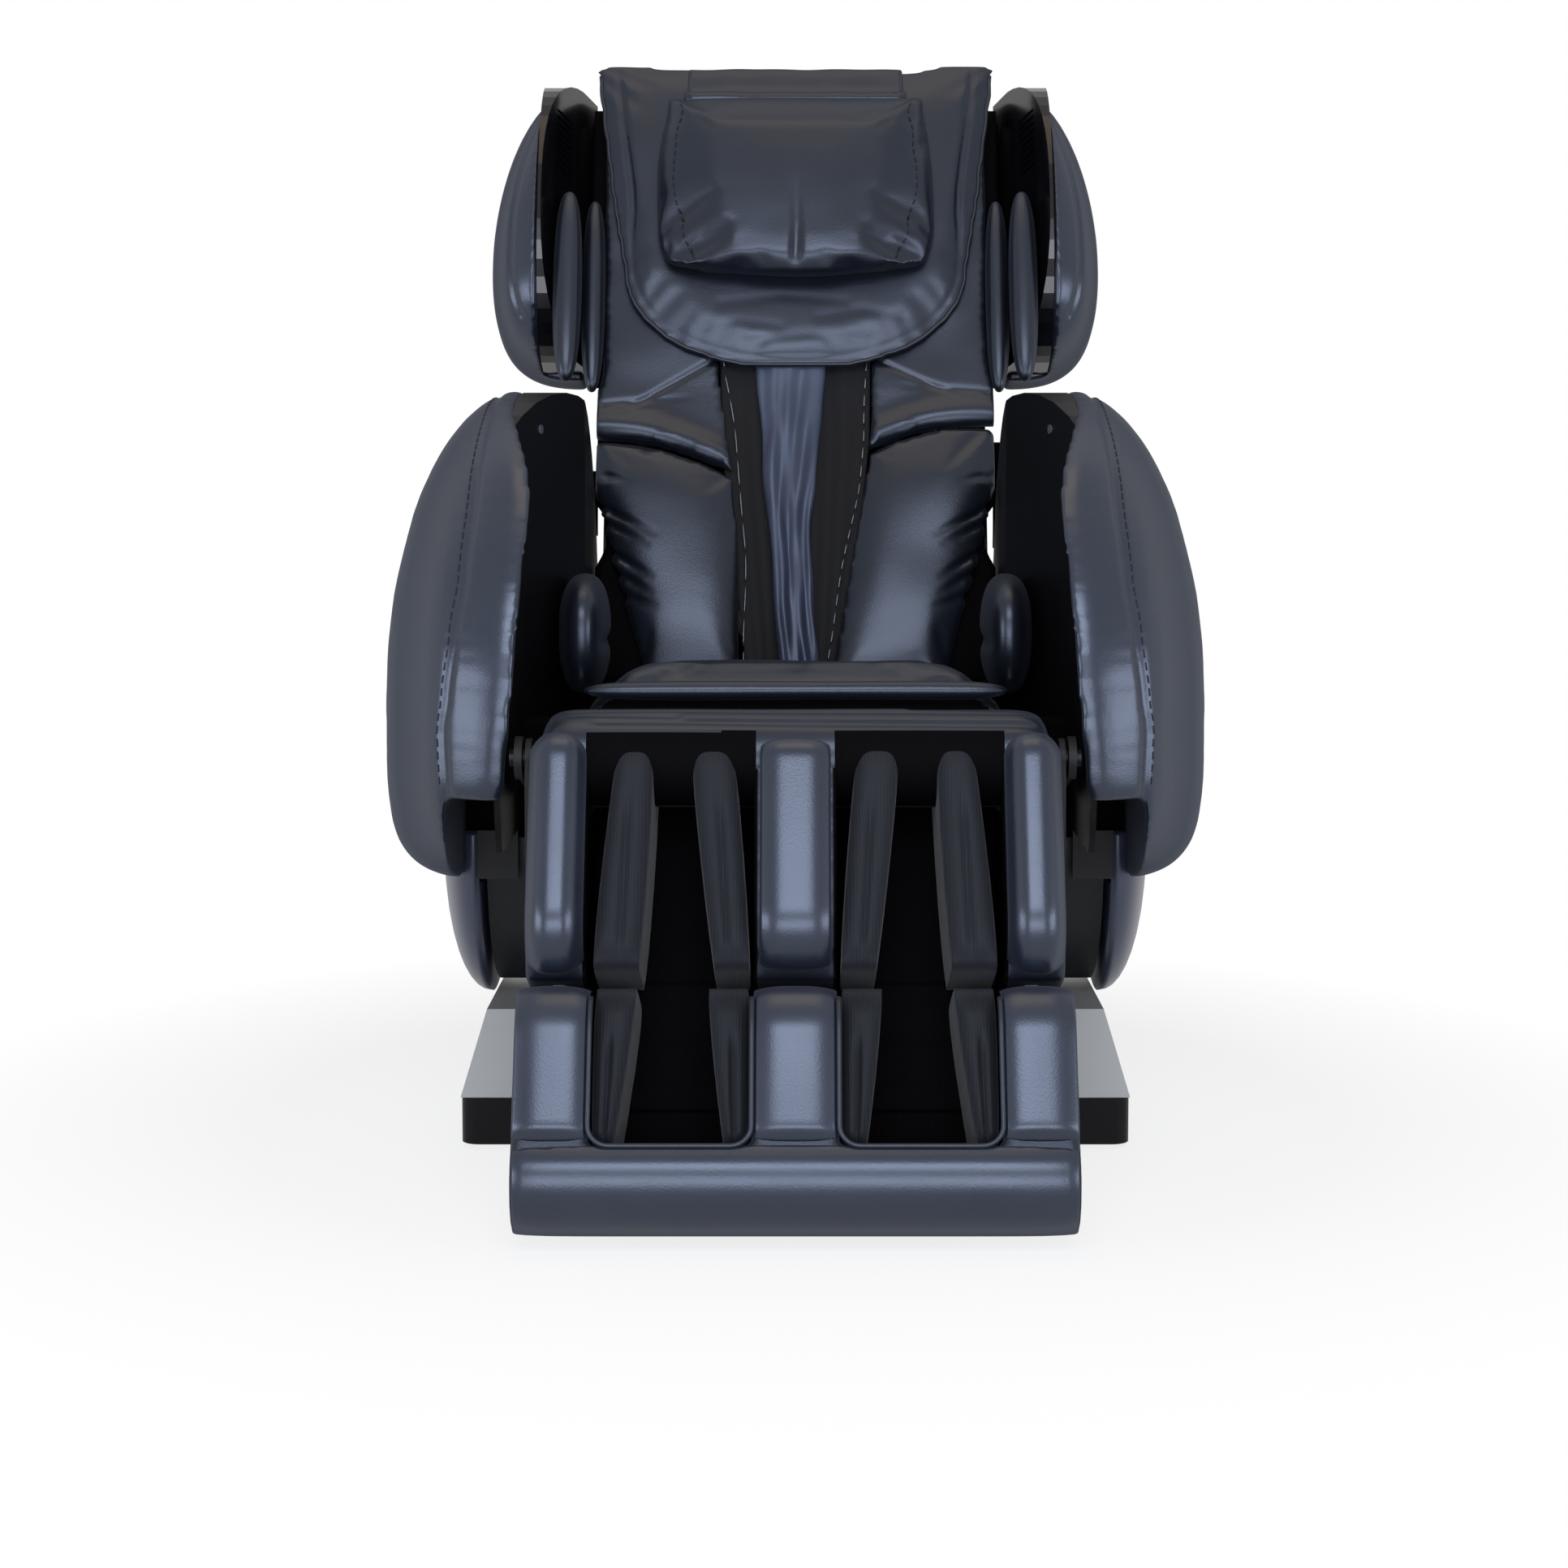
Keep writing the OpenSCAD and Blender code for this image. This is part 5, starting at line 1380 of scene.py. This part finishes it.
def airbag(name, top, foot, heights, depth, body, nodes):
    """Knitted airbag: a slanted pad with one sewn crease. top and foot are its x limits."""

    def point(u, v, front):
        s = mix(heights[0], heights[1], v)
        belly = math.sin(math.pi * min(max(v, 0.02), 0.98)) ** 0.35
        x0, x1 = mix(top[0], foot[0], v), mix(top[1], foot[1], v)
        x = mix(x0, x1, 0.5 + (u - 0.5) * mix(0.8, 1.0, belly))
        if not front:
            return (x, depth[1], s)
        crease = 5.0 * math.exp(-(((u - mix(0.62, 0.42, v)) / 0.09) ** 2))
        crease *= smooth((v - 0.25) * 5) * smooth((1 - v) * 8)
        full = smooth((v - 0.027) * 6) * smooth((1 - v) * 10)
        return (x, depth[0] + 14 + (crease - 14 * hump(u, 3.2)) * full, s)

    made = pad(name, LEG, point, (30, 40))
    if (top[1] - top[0]) * (heights[1] - heights[0]) < 0:
        made.data.flip_normals()
    dressed(finer(made), KNIT, body, nodes)


def airbags(side, name, node, heights, depth, body, limits):
    """An outer and an inner airbag in one well; limits holds their x at the top and the foot."""
    for wall, spans in zip(("outer", "inner"), limits):
        top, foot = [[side * x for x in span] for span in spans]
        nodes = [node] if side > 0 and wall == "outer" else ()
        airbag(f"{name}_{wall}", top, foot, heights, depth, body, nodes)


bag_low, bag_high = box_in("calf_airbags", LEG)
bag_heights = (24, bag_low.z)
bag_depth = (bag_low.y - 24, bag_high.y)
CALF_BAGS = (((138, 178), (150, WELL_OUT - 1)), ((110, 62), (82, WELL_IN + 1)))
for side, name in ((1, "calf_airbag_left"), (-1, "calf_airbag_right")):
    airbags(side, name, "calf_airbags", bag_heights, bag_depth, "leg_rest", CALF_BAGS)

SHADE_SHEET_REACH = 112


def leg_shade_point(u, v, front):
    """Black sheet of painted shade behind the legs, which closes the slit to the foot section as
    it slides out.
    """
    s = mix(CALF_END + 18, CALF_END - SHADE_SHEET_REACH, v)
    n = WELL_REAR - (6.5 if front else 3.5) + math.sin(20 * v)
    return (mix(WELL_IN + 4, WELL_OUT - 6, u), n, s)


leg_shade_sheet = pad("leg_lining_left", LEG, leg_shade_point, (12, 30))
both_sides(leg_shade_sheet, LINING_AND_SHADE, "leg_rest", "knit")

# ---------- foot rest ----------

foot_high = box_in("foot_shell", LEG)[1]
sole_low, sole_high = box_in("foot_airbags", LEG)
FOOT_HALF = foot_high.x
FOOT_TOP = foot_high.z
SOLE = sole_low.z - 0.5
FOOT_IN = 42
FOOT_OUT = 198
TOE_R = 58
TOE_MID = (-12, -427)
RIM_R = 20
floor_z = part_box("foot_shell")[0].z

toe_arc = arc(TOE_MID, TOE_R, 176, 268, 12)
foot_outline = [
    (foot_high.y - 1, FOOT_TOP - 1), (-14, FOOT_TOP - 1), (-38, FOOT_TOP - 14),
    (-55, FOOT_TOP - 46), (-60, FOOT_TOP - 70), (-60, SOLE + 20),
]
foot_outline += [(n + 4, s) for n, s in toe_arc]
foot_outline += [(10, -500), (foot_high.y - 6, -500), (foot_high.y - 1, SOLE)]
foot_housing = extruded("foot_housing", foot_outline, FOOT_HALF - 1, LEG)
foot_cutters = [
    block("floor", (-600, -1500, -600), (600, 1500, floor_z * 1000 + 0.5), MILLIMETRES),
    block("well_left", (FOOT_IN, -130, SOLE), (FOOT_OUT, WELL_REAR, FOOT_TOP + 20), LEG),
    block("well_right", (-FOOT_OUT, -130, SOLE), (-FOOT_IN, WELL_REAR, FOOT_TOP + 20), LEG),
]
foot_housing = even(cut(foot_housing, foot_cutters), 4, 4)
dressed(foot_housing, SOFT_LEATHER, "foot_rest", ["foot_shell"])


def in_foot_wells(p):
    """Whether a place of the foot housing gets the near-black cloth: its wells, lined and painted
    in shade, and the top under the calves, painted shade.
    """
    well = in_wells(p, FOOT_IN, FOOT_OUT, WELL_REAR) and p.z > SOLE - 3 and p.y > -54
    return well or p.z > FOOT_TOP - 6


lined_and_shaded(foot_housing, LEG, in_foot_wells)

FOOT_FACE = -66
FOOT_ROLL = 56


def foot_face(s):
    """Depth of the foot section's padded front at a height: it rolls back at its top."""
    over = min(max(0, s - FOOT_TOP + FOOT_ROLL) / FOOT_ROLL, 1)
    return FOOT_FACE + 0.8 * FOOT_ROLL * (1 - math.sqrt(1 - over**2))


foot_front = [(foot_face(s), s) for s in np.linspace(FOOT_TOP - 3, SOLE + 4, 30)]
for name, x0, x1 in (
    ("foot_cheek_middle", -FOOT_IN + 1, FOOT_IN - 1),
    ("foot_cheek_left", FOOT_OUT + 1, FOOT_HALF - 1),
    ("foot_cheek_right", -FOOT_HALF + 1, -FOOT_OUT - 1),
):
    cheek = finer(facing(name, foot_front, x0, x1, 4.5, 3, 8, LEG, 2))
    dressed(cheek, SATIN_LEATHER, "foot_rest", ())
toe_path = [(FOOT_FACE, SOLE + 2)] + [p for p in toe_arc if p[1] < SOLE]
toe_bar = finer(facing("toe_bar", toe_path, -FOOT_HALF + 1, FOOT_HALF - 1, 2, 14, 5, LEG))
dressed(toe_bar, SATIN_LEATHER, "foot_rest", ())

# Front edge of the left well, down its inner side, round its foot and up its outer side
rim = [(FOOT_IN, FOOT_TOP - 20), (FOOT_IN, SOLE + 22)]
for t in np.linspace(0.2, 1.57, 7):
    rim.append((FOOT_IN + RIM_R - RIM_R * math.cos(t), SOLE + RIM_R - RIM_R * math.sin(t)))
for t in np.linspace(0, 1.37, 7):
    rim.append((FOOT_OUT - RIM_R + RIM_R * math.sin(t), SOLE + RIM_R - RIM_R * math.cos(t)))
rim += [(FOOT_OUT, SOLE + 22), (FOOT_OUT, FOOT_TOP - 20)]
bag_heights = (sole_high.z, sole_low.z)
bag_depth = (sole_low.y - 14, sole_high.y)
FOOT_BAGS = (((152, FOOT_OUT - 1), (174, FOOT_OUT - 1)), ((88, FOOT_IN + 1), (70, FOOT_IN + 1)))
for side, name in ((1, "left"), (-1, "right")):
    bag_name = "foot_airbag_" + name
    airbags(side, bag_name, "foot_airbags", bag_heights, bag_depth, "foot_rest", FOOT_BAGS)
    dense = walked([(side * x, s, 0) for x, s in rim], 6)
    piping = tube("foot_piping_" + name, [(p.x, foot_face(p.y), p.y) for p in dense], 2.6, LEG)
    dressed(piping, PIPING, "foot_rest")

# ---------- camera ----------

FRAME = 1932  # pixels across the square image
LENS = 64.94
EYE = Vector((0.0, chair_middle + 0.040 - 3.2, 0.787))
PITCH = math.radians(4.64)
SHIFT = (-14 / FRAME, -0.081)

camera_data = bpy.data.cameras.new("camera")
camera_data.lens = LENS
camera_data.sensor_width = 36
camera_data.shift_x, camera_data.shift_y = SHIFT
camera = bpy.data.objects.new("camera", camera_data)
camera.location = EYE
camera.rotation_euler = (math.pi / 2 - PITCH, 0, 0)
bpy.context.scene.collection.objects.link(camera)
bpy.context.scene.camera = camera

# ---------- floor, backdrop and light ----------


def seen_by_eye(tree):
    """1 where the eye, a reflection or a view through something meets the surface."""
    path = add(tree, "ShaderNodeLightPath")
    seen = add(
        tree,
        "ShaderNodeMath",
        {"operation": "MAXIMUM"},
        {0: path.outputs["Is Camera Ray"], 1: path.outputs["Is Glossy Ray"]},
    )
    through = add(
        tree,
        "ShaderNodeMath",
        {"operation": "MAXIMUM"},
        {0: seen.outputs[0], 1: path.outputs["Is Transmission Ray"]},
    )
    return through.outputs[0]


def studio_floor():
    """Plain pale floor: white to the eye, with a soft shadow where the chair stands."""
    made = block("floor", (-6000, -6000, -20), (6000, 6000, 0), MILLIMETRES)
    material, tree, shader, place = new_material("pale_floor")
    shader.inputs["Base Color"].default_value = linear("#f4f4f4")
    shader.inputs["Roughness"].default_value = 0.9
    shader.inputs["Specular IOR Level"].default_value = 0.1
    glow = add(tree, "ShaderNodeEmission", {"Color": (1, 1, 1, 1), "Strength": 1.0})
    away = add(tree, "ShaderNodeVectorMath", {"operation": "LENGTH"}, {0: place})
    white_share = add(
        tree,
        "ShaderNodeMapRange",
        {"From Min": 0.62, "From Max": 1.1, "To Min": 0.8, "To Max": 1.0},
        {"Value": away.outputs["Value"]},
    )
    share = add(
        tree,
        "ShaderNodeMath",
        {"operation": "MULTIPLY"},
        {0: seen_by_eye(tree), 1: white_share.outputs[0]},
    )
    both = add(
        tree,
        "ShaderNodeMixShader",
        links={0: share.outputs[0], 1: shader.outputs[0], 2: glow.outputs[0]},
    )
    output = next(n for n in tree.nodes if n.type == "OUTPUT_MATERIAL")
    tree.links.new(both.outputs[0], output.inputs["Surface"])
    made.data.materials.append(material)


studio_floor()

world = bpy.data.worlds.new("studio")
bpy.context.scene.world = world
world.use_nodes = True
sky = world.node_tree
sky.nodes.clear()
ambient = add(sky, "ShaderNodeBackground", {"Color": (0.9, 0.94, 1.0, 1), "Strength": 0.15})
white = add(sky, "ShaderNodeBackground", {"Color": (1, 1, 1, 1), "Strength": 1.0})
backdrop = add(
    sky,
    "ShaderNodeMixShader",
    links={0: seen_by_eye(sky), 1: ambient.outputs[0], 2: white.outputs[0]},
)
add(sky, "ShaderNodeOutputWorld", links={"Surface": backdrop.outputs[0]})


def softbox(name, place, aim, size, power, colour):
    """Rectangular lamp that faces a point: metres and watts."""
    data = bpy.data.lights.new(name, "AREA")
    data.shape = "RECTANGLE"
    data.size, data.size_y = size
    data.energy = power
    data.color = linear(colour)[:3]
    lamp = bpy.data.objects.new(name, data)
    lamp.location = place
    lamp.rotation_euler = (Vector(aim) - Vector(place)).to_track_quat("-Z", "Y").to_euler()
    bpy.context.scene.collection.objects.link(lamp)


COOL = "#eef3ff"
WARM = "#ffdcb0"
softbox("top_light", (0, -0.4, 3.0), (0, 0.1, 0.6), (1.6, 1.2), 9, WARM)
softbox("front_light", (0, -3.9, 0.62), (0, 0, 0.6), (2.5, 0.95), 56, COOL)
softbox("left_light", (3.2, -2.3, 0.7), (0, 0, 0.6), (2.2, 1.2), 52, COOL)
softbox("right_light", (-3.2, -2.3, 0.7), (0, 0, 0.6), (2.2, 1.2), 52, COOL)
softbox("high_light", (0, -3.6, 2.6), (0, -0.3, 0.5), (2.2, 1.2), 76, COOL)
softbox("rear_light", (0, 3.2, 2.0), (0, 0, 0.8), (2.4, 1.6), 8, "#ffffff")

bpy.context.scene.view_settings.view_transform = "Standard"
